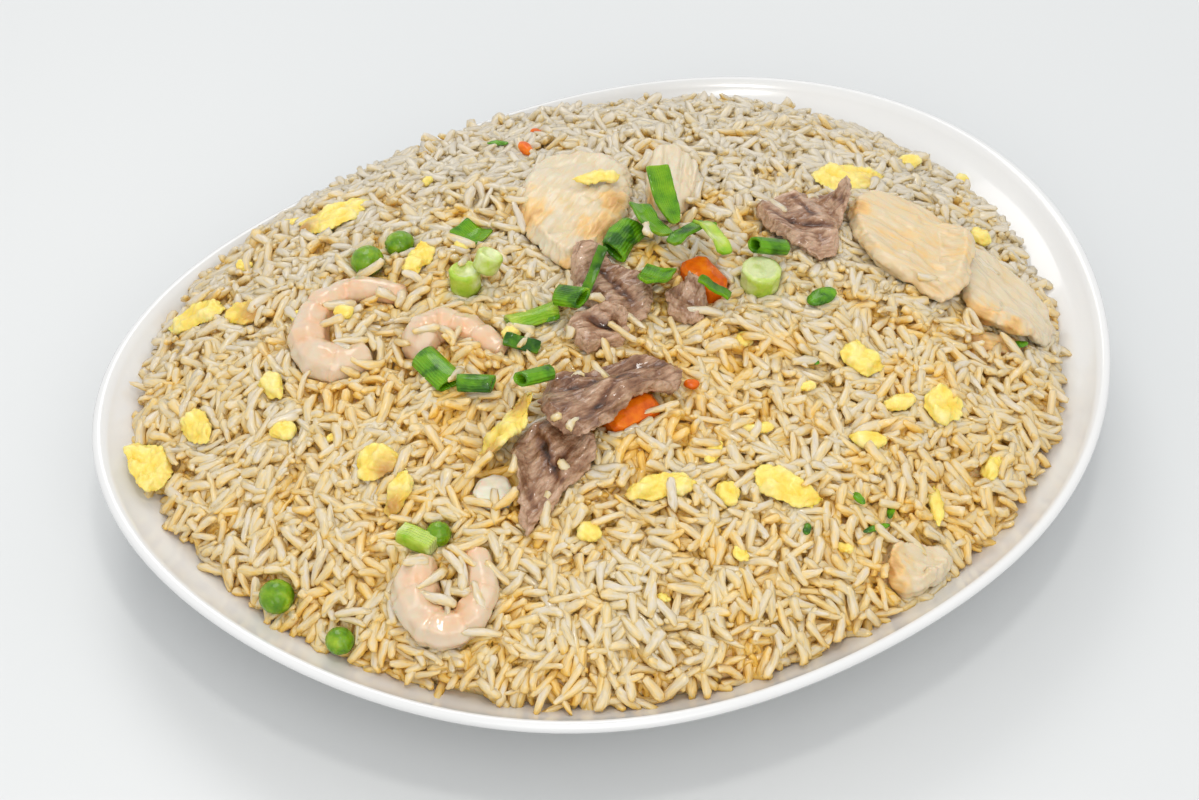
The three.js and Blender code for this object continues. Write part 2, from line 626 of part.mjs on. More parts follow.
// Scraps smaller than a pea are part of the heap's skin.
const SCRAPS = [
  { at: [-80, -43], length: 7, width: 5, turn: -10 },
  { at: [-86, 44], length: 7, width: 5, turn: 30 },
  { at: [-39, 14], length: 7, width: 5, turn: 54 },
  { at: [84, 72], length: 7, width: 5, turn: 18 },
  { at: [99, 40], length: 8, width: 6, turn: -47 },
  { at: [33, -23], length: 6, width: 4, turn: 7 },
  { at: [72, -37], length: 9, width: 5, turn: 31 },
  { at: [63, -49], length: 10, width: 5, turn: -8 },
  { at: [36, -50], length: 8, width: 4, turn: -5 },
  { at: [25, -58], length: 8, width: 4, turn: -110 },
  { at: [28, -69], length: 8, width: 6, turn: -90 },
  { at: [80, -60], length: 15, width: 4, turn: -91 },
  { at: [95, -45], length: 9, width: 5, turn: -108 },
  { at: [-5, -81], length: 6, width: 6, turn: 0 },
  { at: [31, -84], length: 6, width: 5, turn: -73 },
  { at: [-46, -80], length: 9, width: 5, turn: -31 },
  { at: [66, -66], length: 6, width: 5, turn: -19 },
  { at: [-22, 70], length: 7, width: 3, turn: -63 },
  { at: [54, -5], length: 9, width: 5, turn: 40 },
];

function makeScallion(spec) {
  if (spec.kind === 'tube') return makeLeafTube(spec);
  if (spec.kind === 'slice') return makeStemSlice(spec);
  return makeLeafStrip(spec);
}

function makeEgg(spec, seed) {
  const { thick = 3.4, sink = 1.2 } = spec;
  const outline = scrapOutline(spec, seed);
  return drape({ outline, thick, sink, wave: 1, grain: spec.turn, pitch: 7, points: 10, seed });
}

// ---------------------------------------------------------------- the heap of rice
function toManifold(geometry) {
  const position = geometry.attributes.position;
  return new wasm.Manifold(new wasm.Mesh({
    numProp: 3,
    vertProperties: Float32Array.from(position.array),
    triVerts: Uint32Array.from(geometry.index.array),
  }));
}

function fromManifold(solid) {
  const mesh = solid.getMesh();
  const points = Float32Array.from(mesh.vertProperties);
  const corners = Uint32Array.from(mesh.triVerts);
  const geometry = new THREE.BufferGeometry();
  geometry.setAttribute('position', new THREE.BufferAttribute(points, 3));
  geometry.setIndex(new THREE.BufferAttribute(corners, 1));
  return geometry;
}

// A point at an angle round the plate, out by a share of the rice's own edge.
function riceEdge(angle, out) {
  const radius = out * riceShare(angle) * rimRadius(angle);
  return [PLATE_CENTRE[0] + radius * Math.cos(angle), PLATE_CENTRE[1] + radius * Math.sin(angle)];
}

const RING_STRAY = 0.25;           // how far a surface point strays, in steps between rings
const EDGE_STRAY = 0.012;          // how ragged the heap's edge is, as a share of its radius

// The heap's skin: bumps of about a grain's size, pressed down under every topping.
function makeHeap(random) {
  const spacing = PLATE_RADIUS / RICE_RINGS;
  const stray = () => RING_STRAY * (2 * random() - 1);

  const surfacePoint = (ring, k, count) => {
    const angle = (2 * Math.PI * (k + stray())) / count;
    const out = ring === 0 ? 0 : Math.min(1, (ring + stray()) / RICE_RINGS);
    const [x, y] = riceEdge(angle, out);
    const floor = plateHeight(x, y) + RICE_LIFT;
    const bump = GRAIN_BUMP * (2 * random() - 1);
    const pressed = undersides.within(x, y, spacing + CELL) - GAP;
    const top = Math.min(heapHeight(x, y) + bump, pressed);
    return new THREE.Vector3(x, y, Math.max(top, floor + RICE_MIN));
  };

  const edgePoint = (k, count) => {
    const [x, y] = riceEdge((2 * Math.PI * k) / count, 1 - EDGE_STRAY * random());
    return new THREE.Vector3(x, y, plateHeight(x, y) + RICE_LIFT);
  };

  const rows = [];
  for (let ring = 0; ring < RICE_RINGS; ring += 1) {
    const count = Math.max(1, 6 * ring);
    rows.push(Array.from({ length: count }, (_, k) => surfacePoint(ring, k, count)));
  }
  const edgeCount = 6 * RICE_RINGS;
  rows.push(Array.from({ length: edgeCount }, (_, k) => edgePoint(k, edgeCount)));

  const shares = INNER_SHARES.filter((share) => share < 0.8).reverse();
  const under = shares.map((share) => plateRow(share, plateWall(share) + RICE_LIFT));
  const middle = [new THREE.Vector3(PLATE_CENTRE[0], PLATE_CENTRE[1], WELL_HEIGHT + RICE_LIFT)];
  return loft([...rows, ...under, middle]);
}

// A loose grain: a five-sided spindle of two rings and two tips, tipped and turned at random.
const GRAIN_TILT = 25;

function makeGrain(random) {
  const { length, width } = GRAIN;
  const row = (x) => {
    const centre = new THREE.Vector3(x, 0, 0);
    return ellipseRow(centre, CROSSWISE, UPWARD, width / 2, 0.45 * width, 5);
  };
  const tip = (x) => [new THREE.Vector3(x, 0, 0)];
  const grain = loft([tip(-length / 2), row(-0.3 * length), row(0.3 * length), tip(length / 2)]);
  grain.rotateY(radians(GRAIN_TILT * (2 * random() - 1)));
  grain.rotateZ(2 * Math.PI * random());
  return grain;
}

const THIN_RICE = 2;               // no scrap or loose grain where the heap is thinner than this

function isClear(geometry) {
  for (const [x, y] of new SurfaceMap(Math.min, Infinity).paint(geometry).cells()) {
    if (tops.within(x, y, SCRAP_CLEARANCE) > -Infinity) return false;
    if (heapHeight(x, y) - plateHeight(x, y) < THIN_RICE + GAP) return false;
  }
  return true;
}

// A low crumb with its root inside the heap.
function makeScrap(spec, seed, onHeap) {
  const outline = scrapOutline(spec, seed);
  const [cx, cy] = spec.at;
  const shoulder = ([x, y]) => onHeap(lerp(x, cx, 0.35), lerp(y, cy, 0.35), 0.9 * SCRAP_HEIGHT);
  return loft([
    [onHeap(cx, cy, SCRAP_HEIGHT)],
    outline.map(shoulder),
    outline.map(([x, y]) => onHeap(x, y, 0.3)),
    [onHeap(cx, cy, -3)],
  ]);
}

function makeRice() {
  const random = randomFrom(27);
  const skinOfHeap = makeHeap(random);
  const surface = new SurfaceMap(Math.max, -Infinity).paint(skinOfHeap);
  const onHeap = (x, y, rise) => new THREE.Vector3(x, y, surface.within(x, y, 0) + rise);
  let heap = toManifold(skinOfHeap);

  const scraps = SCRAPS.map((spec, k) => makeScrap(spec, 60 + k, onHeap)).filter(isClear);
  for (const scrap of scraps) heap = heap.add(toManifold(scrap));

  for (let placed = 0; placed < LOOSE_GRAINS;) {
    const [x, y] = riceEdge(2 * Math.PI * random(), 0.94 * Math.sqrt(random()));
    const grain = makeGrain(random);
    grain.translate(x, y, onHeap(x, y, 0.4).z);
    if (!isClear(grain)) continue;
    heap = heap.add(toManifold(grain));
    placed += 1;
  }
  return fromManifold(heap);
}

// ---------------------------------------------------------------- the scene graph
const finish = (color, roughness) => new THREE.MeshStandardMaterial({ color, roughness, metalness: 0 });
const FINISHES = {
  plate: () => finish(0xf3f3f1, 0.15),
  rice: () => finish(0xdccaa4, 0.55),
  shrimp: () => finish(0xf0c8a8, 0.35),
  chicken: () => finish(0xe8d2a0, 0.5),
  beef: () => finish(0x8f7565, 0.4),
  egg: () => finish(0xf2d65a, 0.6),
  scallion: () => finish(0x3f8a24, 0.4),
  pea: () => finish(0x4c9a2c, 0.35),
  carrot: () => finish(0xe2611a, 0.45),
  onion: () => finish(0xeee8d8, 0.35),
};

const dish = new THREE.Group();

function add(name, kind, geometry) {
  const mesh = new THREE.Mesh(geometry, FINISHES[kind]());
  mesh.name = name;
  dish.add(mesh);
}

add('plate', 'plate', makePlate());

// What is laid first lies lowest.
for (const spec of SHRIMP) add(spec.name, 'shrimp', makeShrimp(spec));
const onion = makeChunk({ length: 10, width: 9, height: 6, round: 0.3, seed: 8 });
add('onion', 'onion', settle(onion, { at: [-28, -69], turn: 20, sink: 3.5 }));
for (const spec of CARROT) add(spec.name, 'carrot', settle(makeChunk(spec), spec));
for (const spec of PEAS) add(spec.name, 'pea', settle(makePea(spec), { ...spec, sink: 3 }));
CHICKEN.forEach((spec, k) => add(spec.name, 'chicken', drape({ ...spec, seed: 10 + k })));
BEEF.forEach((spec, k) => add(spec.name, 'beef', drape({ ...spec, seed: 20 + k })));
EGG.forEach((spec, k) => add(spec.name, 'egg', makeEgg(spec, 40 + k)));
add(EGG_ON_CHICKEN.name, 'egg', makeEgg(EGG_ON_CHICKEN, 58));
for (const spec of SCALLION) add(spec.name, 'scallion', settle(makeScallion(spec), spec));
add('rice', 'rice', makeRice());

export default dish;
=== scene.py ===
import math
import random

import bpy
import numpy as np
from mathutils import Matrix, Vector, noise
from mathutils.bvhtree import BVHTree


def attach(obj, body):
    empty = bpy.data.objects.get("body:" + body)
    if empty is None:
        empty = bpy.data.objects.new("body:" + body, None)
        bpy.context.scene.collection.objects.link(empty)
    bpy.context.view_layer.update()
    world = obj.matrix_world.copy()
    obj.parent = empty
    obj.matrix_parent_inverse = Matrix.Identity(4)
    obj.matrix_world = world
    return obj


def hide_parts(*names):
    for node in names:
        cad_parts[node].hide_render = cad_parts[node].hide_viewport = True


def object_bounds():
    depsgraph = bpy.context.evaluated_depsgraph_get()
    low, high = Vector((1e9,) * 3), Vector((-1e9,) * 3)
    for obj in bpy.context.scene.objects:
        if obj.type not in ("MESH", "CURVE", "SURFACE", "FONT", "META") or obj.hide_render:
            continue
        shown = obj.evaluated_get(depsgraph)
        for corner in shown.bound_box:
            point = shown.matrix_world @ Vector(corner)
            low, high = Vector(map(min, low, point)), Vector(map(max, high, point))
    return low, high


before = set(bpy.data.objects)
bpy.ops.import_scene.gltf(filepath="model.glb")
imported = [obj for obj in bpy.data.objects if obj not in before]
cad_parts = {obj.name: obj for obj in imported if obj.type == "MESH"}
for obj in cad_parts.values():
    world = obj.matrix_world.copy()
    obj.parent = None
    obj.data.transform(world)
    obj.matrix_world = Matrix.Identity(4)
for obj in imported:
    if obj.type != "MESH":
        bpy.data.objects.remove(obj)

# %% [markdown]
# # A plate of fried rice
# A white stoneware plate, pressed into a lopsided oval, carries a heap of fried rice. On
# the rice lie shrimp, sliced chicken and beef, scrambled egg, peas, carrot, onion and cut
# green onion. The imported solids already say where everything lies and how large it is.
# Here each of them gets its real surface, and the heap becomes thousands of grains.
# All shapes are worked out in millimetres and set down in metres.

MM = 0.001
SOLID_BOX = [list(corner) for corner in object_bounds()]
print("solids reach from", SOLID_BOX[0], "to", SOLID_BOX[1])

# %% [markdown]
# ## Tools for the bench
# A Blender operator works on whatever is selected, so every step first takes one piece in
# hand and lets go of the rest. A piece that starts from a solid is a copy of it with its
# loose triangles merged into one skin and a name of its own. Shapes that follow a rule are
# set by moving the vertices with arrays, which is quick and exact.


# %% take a piece in hand, merge it, apply a modifier
TOUCHING = 0.001


def only(piece):
    bpy.ops.object.select_all(action="DESELECT")
    piece.select_set(True)
    bpy.context.view_layer.objects.active = piece


def edit(piece, select="SELECT"):
    only(piece)
    bpy.ops.object.mode_set(mode="EDIT")
    bpy.ops.mesh.select_all(action=select)


def done():
    bpy.ops.object.mode_set(mode="OBJECT")


def merge(piece):
    edit(piece)
    bpy.ops.mesh.remove_doubles(threshold=TOUCHING * MM)
    done()


def apply(piece, kind, **settings):
    only(piece)
    modifier = piece.modifiers.new(kind.lower(), kind)
    for key, value in settings.items():
        setattr(modifier, key, value)
    bpy.ops.object.modifier_apply(modifier=modifier.name)


def subdivide(piece, levels):
    apply(piece, "SUBSURF", levels=levels, render_levels=levels)


COPY_NAMES = {
    "chicken": "breast", "beef": "braised", "egg": "flake", "shrimp": "prawn",
    "scallion": "leaf", "pea": "garden_pea", "carrot": "carrot_dice", "onion": "onion_dice",
}


def nodes_of(food):
    return [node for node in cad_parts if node.startswith(food + "_")]


def copy_of(node):
    food = node.split("_")[0]
    name = node.replace(food, COPY_NAMES[food], 1)
    piece = bpy.data.objects.new(name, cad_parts[node].data.copy())
    bpy.context.scene.collection.objects.link(piece)
    piece.data.materials.clear()
    only(piece)
    bpy.ops.mesh.customdata_custom_splitnormals_clear()
    merge(piece)
    return piece


# %% read and write a piece's points in millimetres
def read(piece, what):
    flat = np.empty(3 * len(piece.data.vertices), np.float32)
    piece.data.vertices.foreach_get(what, flat)
    return flat.reshape(-1, 3).astype(float)


def points_of(piece):
    return read(piece, "co") / MM


def normals_of(piece):
    return read(piece, "normal")


def set_points(piece, points):
    piece.data.vertices.foreach_set("co", (points * MM).astype(np.float32).ravel())
    piece.data.update()


def push(piece, amount):
    """Moves every point along its own normal by so many millimetres."""
    set_points(piece, points_of(piece) + normals_of(piece) * np.asarray(amount)[:, None])


def write_attribute(piece, name, values):
    values = np.asarray(values, np.float32)
    kind, slot = ("FLOAT", "value") if values.ndim == 1 else ("FLOAT_VECTOR", "vector")
    layer = piece.data.attributes.new(name, kind, "POINT")
    layer.data.foreach_set(slot, values.ravel())


FINER, SHIFT = 2.03, 7.1


def rough(points, size, seed=0.0, octaves=1):
    """Smooth noise from about -1 to 1 whose bumps are `size` millimetres apart.

    Another seed gives another pattern, and each further octave adds finer bumps.
    """
    scaled = points / np.asarray(size, float) + seed
    total, strength = np.zeros(len(points)), 1.0
    for _ in range(octaves):
        total += strength * np.array([noise.noise(p) for p in scaled.tolist()])
        scaled, strength = scaled * FINER + SHIFT, strength / 2
    return total


def along_grain(points, degrees):
    """Turns points round the vertical so that x runs along the grain of the food."""
    c, s = math.cos(math.radians(degrees)), math.sin(math.radians(degrees))
    x, y = points[:, 0], points[:, 1]
    return np.column_stack([c * x + s * y, c * y - s * x, points[:, 2]])


# %% [markdown]
# ## Finishes
# Food is never one flat colour. Every finish is a small tree of nodes: noise in the
# piece's own coordinates or a value painted on its points runs through a colour ramp, and
# a finer noise makes the bump. What is the same all over, such as the roughness or the
# depth that light sinks in, is set on the shader itself.


# %% a kit for building a finish
class Finish:
    """`sink_mm` is how deep light sinks in; a coat is its strength and its roughness."""

    def __init__(self, name, roughness, sink_mm=0.0, sink=0.0, shine=0.5, coat=(0.0, 0.03)):
        self.material = bpy.data.materials.new(name)
        self.material.use_nodes = True
        self.tree = self.material.node_tree
        self.shader = self.tree.nodes["Principled BSDF"]
        self.set("Roughness", roughness)
        self.set("Subsurface Weight", sink)
        self.set("Subsurface Scale", sink_mm * MM)
        self.set("Specular IOR Level", shine)
        self.set("Coat Weight", coat[0])
        self.set("Coat Roughness", coat[1])
        self.place = self.node("ShaderNodeTexCoord").outputs["Object"]

    def node(self, kind, **settings):
        node = self.tree.nodes.new(kind)
        for key, value in settings.items():
            setattr(node, key, value)
        return node

    def set(self, socket, value):
        self.shader.inputs[socket].default_value = value

    def put(self, value, socket):
        if isinstance(value, bpy.types.NodeSocket):
            self.tree.links.new(value, socket)
        else:
            socket.default_value = value

    def noise(self, size, detail, stretch=None, place=None):
        """Noise of a size in millimetres; `stretch` is its direction and how long it is."""
        texture = self.node("ShaderNodeTexNoise")
        texture.inputs["Scale"].default_value = 1 / (size * MM)
        texture.inputs["Detail"].default_value = detail
        vector = place or self.place
        if stretch:
            mapping = self.node("ShaderNodeMapping")
            mapping.inputs["Rotation"].default_value = (0, 0, math.radians(-stretch[0]))
            mapping.inputs["Scale"].default_value = (1 / stretch[1], 1, 1)
            self.put(vector, mapping.inputs["Vector"])
            vector = mapping.outputs["Vector"]
        self.put(vector, texture.inputs["Vector"])
        return texture.outputs["Fac"]

    def painted(self, name, kind="Fac"):
        return self.node("ShaderNodeAttribute", attribute_name=name).outputs[kind]

    def sum(self, *terms):
        """Adds up (value, weight) pairs; the value 1.0 stands for a plain number."""
        total = None
        for value, weight in terms:
            part = self.node("ShaderNodeMath", operation="MULTIPLY_ADD")
            self.put(value, part.inputs[0])
            part.inputs[1].default_value = weight
            self.put(0.0 if total is None else total, part.inputs[2])
            total = part.outputs[0]
        return total

    def ramp(self, value, *stops):
        ramp = self.node("ShaderNodeValToRGB")
        elements = ramp.color_ramp.elements
        while len(elements) < len(stops):
            elements.new(0.5)
        for element, (position, colour) in zip(elements, stops):
            element.position = position
            element.color = (*colour, 1)
        self.put(value, ramp.inputs["Fac"])
        return ramp.outputs["Color"]

    def mix(self, factor, first, second):
        mix = self.node("ShaderNodeMix", data_type="RGBA")
        self.put(factor, mix.inputs[0])
        for socket, colour in ((mix.inputs[6], first), (mix.inputs[7], second)):
            self.put((*colour, 1) if isinstance(colour, tuple) else colour, socket)
        return mix.outputs[2]

    def colour(self, value):
        self.put(value, self.shader.inputs["Base Color"])

    def let_light_through(self, share, colour):
        """Wet, starchy food passes some of its light on to what lies behind it."""
        through = self.node("ShaderNodeBsdfTranslucent")
        mix = self.node("ShaderNodeMixShader")
        self.put(colour, through.inputs["Color"])
        self.put(share, mix.inputs[0])
        self.put(self.shader.outputs[0], mix.inputs[1])
        self.put(through.outputs[0], mix.inputs[2])
        self.put(mix.outputs[0], self.tree.nodes["Material Output"].inputs["Surface"])

    def bump(self, value, depth):
        bump = self.node("ShaderNodeBump")
        bump.inputs["Strength"].default_value = 1
        bump.inputs["Distance"].default_value = depth * MM
        self.put(value, bump.inputs["Height"])
        self.put(bump.outputs["Normal"], self.shader.inputs["Normal"])

    def vary_roughness(self, value, low, high):
        span = self.node("ShaderNodeMapRange")
        span.inputs["To Min"].default_value = low
        span.inputs["To Max"].default_value = high
        self.put(value, span.inputs["Value"])
        self.put(span.outputs[0], self.shader.inputs["Roughness"])


def serve(piece, finish, slot, *nodes):
    """A finished piece: smooth, coloured, riding on the plate in place of its solids."""
    only(piece)
    bpy.ops.object.shade_smooth()
    piece.data.materials.clear()
    piece.data.materials.append(finish.material)
    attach(piece, "root")
    if nodes:
        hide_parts(*nodes)
    return piece


# %% [markdown]
# ## Camera, table and light
# The plate is seen from its front at about 43 degrees, from 0.7 m away. The table is a
# pale, slightly glossy top. Most of the light comes from a bright room and from a wide
# soft lamp beside the viewer, so shadows are faint and short. A second lamp behind the
# plate draws bright edges on the food. A faint wide lamp hangs overhead, and beside it a
# small one that puts a spark on whatever is wet.

# %% camera
TARGET = Vector((-2.65, -15.8, 32)) * MM
DISTANCE = 700 * MM
ELEVATION = math.radians(43)
PICTURE_WIDTH = 1199
FOCAL_PIXELS = 2705
SENSOR = 36

camera_data = bpy.data.cameras.new("camera")
camera_data.sensor_width = SENSOR
camera_data.lens = FOCAL_PIXELS / PICTURE_WIDTH * SENSOR
camera_data.clip_start = 0.01
camera = bpy.data.objects.new("camera", camera_data)
back = Vector((0, -math.cos(ELEVATION), math.sin(ELEVATION)))
camera.location = TARGET + DISTANCE * back
camera.rotation_euler = (-back).to_track_quat("-Z", "Y").to_euler()
bpy.context.scene.collection.objects.link(camera)
bpy.context.scene.camera = camera
bpy.context.scene.view_settings.view_transform = "Standard"
print("lens", round(camera_data.lens, 1), "mm")

# %% table
TABLE_SIZE = 6
bpy.ops.mesh.primitive_plane_add(size=TABLE_SIZE, location=(0, 0, 0))
table = bpy.context.object
table.name = "table"
table_finish = Finish("table_top", 0.35, shine=0.3)
table_finish.colour(table_finish.ramp(
    table_finish.noise(400, 1), (0.3, (0.63, 0.645, 0.65)), (0.7, (0.655, 0.665, 0.665))))
table.data.materials.append(table_finish.material)


# %% light
def soft_light(name, place, size, watts, colour, aim=(0, 0, 0)):
    data = bpy.data.lights.new(name, "AREA")
    data.shape = "DISK"
    data.size = size
    data.energy = watts
    data.color = colour
    light = bpy.data.objects.new(name, data)
    light.location = place
    light.rotation_euler = (Vector(aim) - Vector(place)).to_track_quat("-Z", "Y").to_euler()
    bpy.context.scene.collection.objects.link(light)


WARM, WHITE, DAYLIGHT = (1.0, 0.975, 0.94), (1.0, 0.985, 0.965), (1.0, 0.99, 0.97)
CROWN = (0, 0, 0.03)
LAMPS = [
    dict(name="overhead", place=(-0.08, -0.3, 1.25), size=0.8, watts=0.6, colour=WARM),
    dict(name="spark", place=(0.05, -0.25, 1.2), size=0.14, watts=1.8, colour=WARM),
    dict(name="fill", place=(0.1, -1.05, 0.85), size=1.2, watts=6.3, colour=WHITE),
    dict(name="window", place=(-0.25, 0.9, 1.1), size=0.7, watts=4.0, colour=DAYLIGHT,
         aim=CROWN),
]
ROOM_COLOUR, ROOM_LIGHT = (0.98, 0.99, 1.0, 1), 0.85

for lamp in LAMPS:
    soft_light(**lamp)
room = bpy.data.worlds.new("room")
room.use_nodes = True
walls = room.node_tree.nodes["Background"]
walls.inputs["Color"].default_value = ROOM_COLOUR
walls.inputs["Strength"].default_value = ROOM_LIGHT
bpy.context.scene.world = room
print("lamps:", len(LAMPS))

# %% [markdown]
# ## The plate
# A potter's jigger forms a dish by turning a profile, and this plate was then pressed
# into a lopsided oval. It is made in the same order: the profile is spun round the axis,
# and then every point is moved out or in by the rim's own slow waves. Those waves and the
# profile are the same named sizes as in the solid. A share is how far out a point lies,
# from 0 on the axis to 1 at the rim, and the rest are millimetres and degrees.

# %% the plate's measures
PLATE_RADIUS = 126.8
PLATE_CENTRE = np.array([4.4, -1.0])
RIM_LOBES = [(2, 12.5, 35), (3, 3.8, 60), (4, 0.9, 84), (5, 0.95, 46)]
RIM_HEIGHT = 32.0
WELL_HEIGHT = 7.0
WELL_SHARE = 0.42
WALL_CURVE = 1.6
WALL_THICKNESS = 3.6
LIP_SHARES = [0.982, 0.990, 0.996, 0.9995, 0.9995, 0.996]
LIP_DROPS = [0.05, 0.12, 0.4, 1.0, 1.8, 2.6]
FOOT_INNER, FOOT_OUTER, FOOT_TAPER = 0.5, 0.55, 0.015
FOOT_ROUND, FOOT_EDGE = 0.008, 1.0
FLOOR_SHARES = np.linspace(0.1, 0.4, 4)
WALL_SHARES = np.linspace(WELL_SHARE, 0.97, 18)
OUTSIDE_SHARES = np.linspace(0.975, 0.58, 12)
UNDER_SHARE = 0.25
PLATE_STEPS = 192
SPARE = 0.9995


def lobed(base, waves, angle):
    total = np.full(np.shape(angle), float(base))
    for lobes, swell, turn in waves:
        total = total + swell * np.cos(lobes * (angle - math.radians(turn)))
    return total


def rim_radius(angle):
    return lobed(PLATE_RADIUS, RIM_LOBES, angle)


def plate_wall(share):
    rise = np.maximum(0, (np.asarray(share, float) - WELL_SHARE) / (1 - WELL_SHARE))
    return WELL_HEIGHT + (RIM_HEIGHT - WELL_HEIGHT) * rise**WALL_CURVE


def polar(x, y, centre=PLATE_CENTRE):
    dx, dy = x - centre[0], y - centre[1]
    return np.hypot(dx, dy), np.arctan2(dy, dx)


def pressed(share, angle):
    """Where a place on a round form lands when the form is pressed into the oval."""
    reach = share * rim_radius(angle)
    return PLATE_CENTRE[0] + reach * np.cos(angle), PLATE_CENTRE[1] + reach * np.sin(angle)


def plate_height(x, y):
    radius, angle = polar(x, y)
    return plate_wall(radius / rim_radius(angle))


# %% spin a profile round the axis
ON_AXIS = 1e-7
SEAM = 0.01


def spin_profile(name, profile, steps):
    """A closed outline in the XZ plane, whose ends lie on the axis, turned once round."""
    bpy.ops.object.select_all(action="DESELECT")
    bpy.ops.mesh.primitive_circle_add(vertices=len(profile), fill_type="NOTHING")
    piece = bpy.context.object
    piece.name = name
    set_points(piece, np.array([(x, 0, z) for x, z in profile], float))
    edit(piece, "DESELECT")
    done()
    for edge in piece.data.edges:
        ends = [piece.data.vertices[v].co.x for v in edge.vertices]
        edge.select = all(abs(x) < ON_AXIS for x in ends)
    bpy.ops.object.mode_set(mode="EDIT")
    bpy.ops.mesh.select_mode(type="EDGE")
    bpy.ops.mesh.delete(type="EDGE")
    bpy.ops.mesh.select_mode(type="VERT")
    bpy.ops.mesh.select_all(action="SELECT")
    bpy.ops.mesh.spin(steps=steps, angle=2 * math.pi, center=(0, 0, 0), axis=(0, 0, 1))
    bpy.ops.mesh.select_all(action="SELECT")
    bpy.ops.mesh.remove_doubles(threshold=SEAM * MM)
    bpy.ops.mesh.normals_make_consistent(inside=False)
    done()
    return piece


# %% the plate
def plate_profile():
    inside = [(s, float(plate_wall(s))) for s in (*FLOOR_SHARES, *WALL_SHARES)]
    lip = [(s, RIM_HEIGHT - d) for s, d in zip(LIP_SHARES, LIP_DROPS)]
    outside = [(s, float(plate_wall(s)) - WALL_THICKNESS) for s in OUTSIDE_SHARES]
    low = float(plate_wall(FOOT_OUTER + FOOT_TAPER)) - WALL_THICKNESS
    under = WELL_HEIGHT - WALL_THICKNESS
    foot = [
        (FOOT_OUTER + FOOT_TAPER, low), (FOOT_OUTER + FOOT_ROUND, FOOT_EDGE),
        (FOOT_OUTER, 0.0), (FOOT_INNER, 0.0),
        (FOOT_INNER - FOOT_ROUND, FOOT_EDGE), (FOOT_INNER - FOOT_TAPER, under),
    ]
    middle = [(UNDER_SHARE, under), (0, under)]
    return [(0, WELL_HEIGHT), *inside, *lip, *outside, *foot, *middle]


plate = spin_profile("stoneware_plate", plate_profile(), PLATE_STEPS)
points = points_of(plate)
share, angle = polar(points[:, 0], points[:, 1], (0, 0))
points[:, 0], points[:, 1] = pressed(share * SPARE, angle)
set_points(plate, points)

glaze = Finish("white_glaze", 0.16, coat=(0.5, 0.05))
glaze.colour(glaze.ramp(
    glaze.noise(60, 2), (0.3, (0.69, 0.69, 0.685)), (0.7, (0.73, 0.73, 0.725))))
glaze.bump(glaze.noise(25, 1), 0.08)
glaze.vary_roughness(glaze.noise(12, 3), 0.12, 0.22)
serve(plate, glaze, "plate", "plate")
print("plate:", len(plate.data.polygons), "faces")

# %% [markdown]
# ## The heap's form
# The heap fills the plate almost to its rim and rises to a flat crown. It follows the
# same rule as the solid: a slow dome with low humps. Inside it a plain core carries the
# grains.

# %% the heap's measures
RICE_SHARE = 0.92
RICE_LOBES = [(1, 0.02, 163), (2, 0.023, 126), (3, 0.007, 13)]
RICE_PEAK = 61.0
RICE_CROWN = 2.2
RICE_SHOULDER = 0.7
RICE_LIFT = 0.8
HUMP_HEIGHT = 1.6
HUMP_WAVES = (9, 11, 17, 13)
HUMP_PHASES = (1.3, -0.4)
HUMP_FADE = 0.3
SHORT_PART, SLOW_PART = 0.6, 0.4


def rice_share(angle):
    return lobed(RICE_SHARE, RICE_LOBES, angle)


def heap_out(x, y):
    """How far out a place lies: 0 in the middle, 1 at the edge of the rice."""
    radius, angle = polar(x, y)
    return radius / (rice_share(angle) * rim_radius(angle))


def heap_height(x, y):
    _, angle = polar(x, y)
    out = np.clip(heap_out(x, y), 0, 1)
    edge = plate_wall(rice_share(angle)) + RICE_LIFT
    a, b, c, d = HUMP_WAVES
    short = np.sin(x / a + HUMP_PHASES[0]) * np.cos(y / b + HUMP_PHASES[1])
    slow = np.sin(x / c - y / d)
    humps = HUMP_HEIGHT * (1 - out) ** HUMP_FADE * (SHORT_PART * short + SLOW_PART * slow)
    return edge + (RICE_PEAK - edge) * (1 - out**RICE_CROWN) ** RICE_SHOULDER + humps


print("crown of the heap", round(float(heap_height(*PLATE_CENTRE)), 1), "mm")

# %% [markdown]
# ## Sliced meat
# A slice of cooked meat is a thick soft sheet whose fibres run one way. The solid is
# already draped over the rice, so its copy is remeshed into small even faces and carved:
# long shallow ridges along the grain, slow dents across it, and a few creases. Browning
# is painted on the points, because it lies where the slice touched the hot wok, and so is
# shade, painted darker in the creases and hollows. The sizes of these ridges and dents are
# in millimetres along, across and down through the slice.


# %% an even, fine copy of a solid, with spots and creases
RAGGED_SIZE = 3.0
CREASE_WANDER = 0.5


def fine_copy(node, voxel, smooth=3):
    piece = copy_of(node)
    apply(piece, "REMESH", mode="VOXEL", voxel_size=voxel * MM)
    apply(piece, "SMOOTH", factor=0.5, iterations=smooth)
    return piece


def spots(points, places, ragged):
    """A soft patch round each (x, y, radius), with a ragged edge."""
    wobble = 1 + ragged * rough(points, RAGGED_SIZE, 31.0, 2)
    total = np.zeros(len(points))
    for x, y, radius in places:
        distance = np.hypot(points[:, 0] - x, points[:, 1] - y)
        total = np.maximum(total, np.exp(-((distance / (radius * wobble)) ** 2)))
    return total


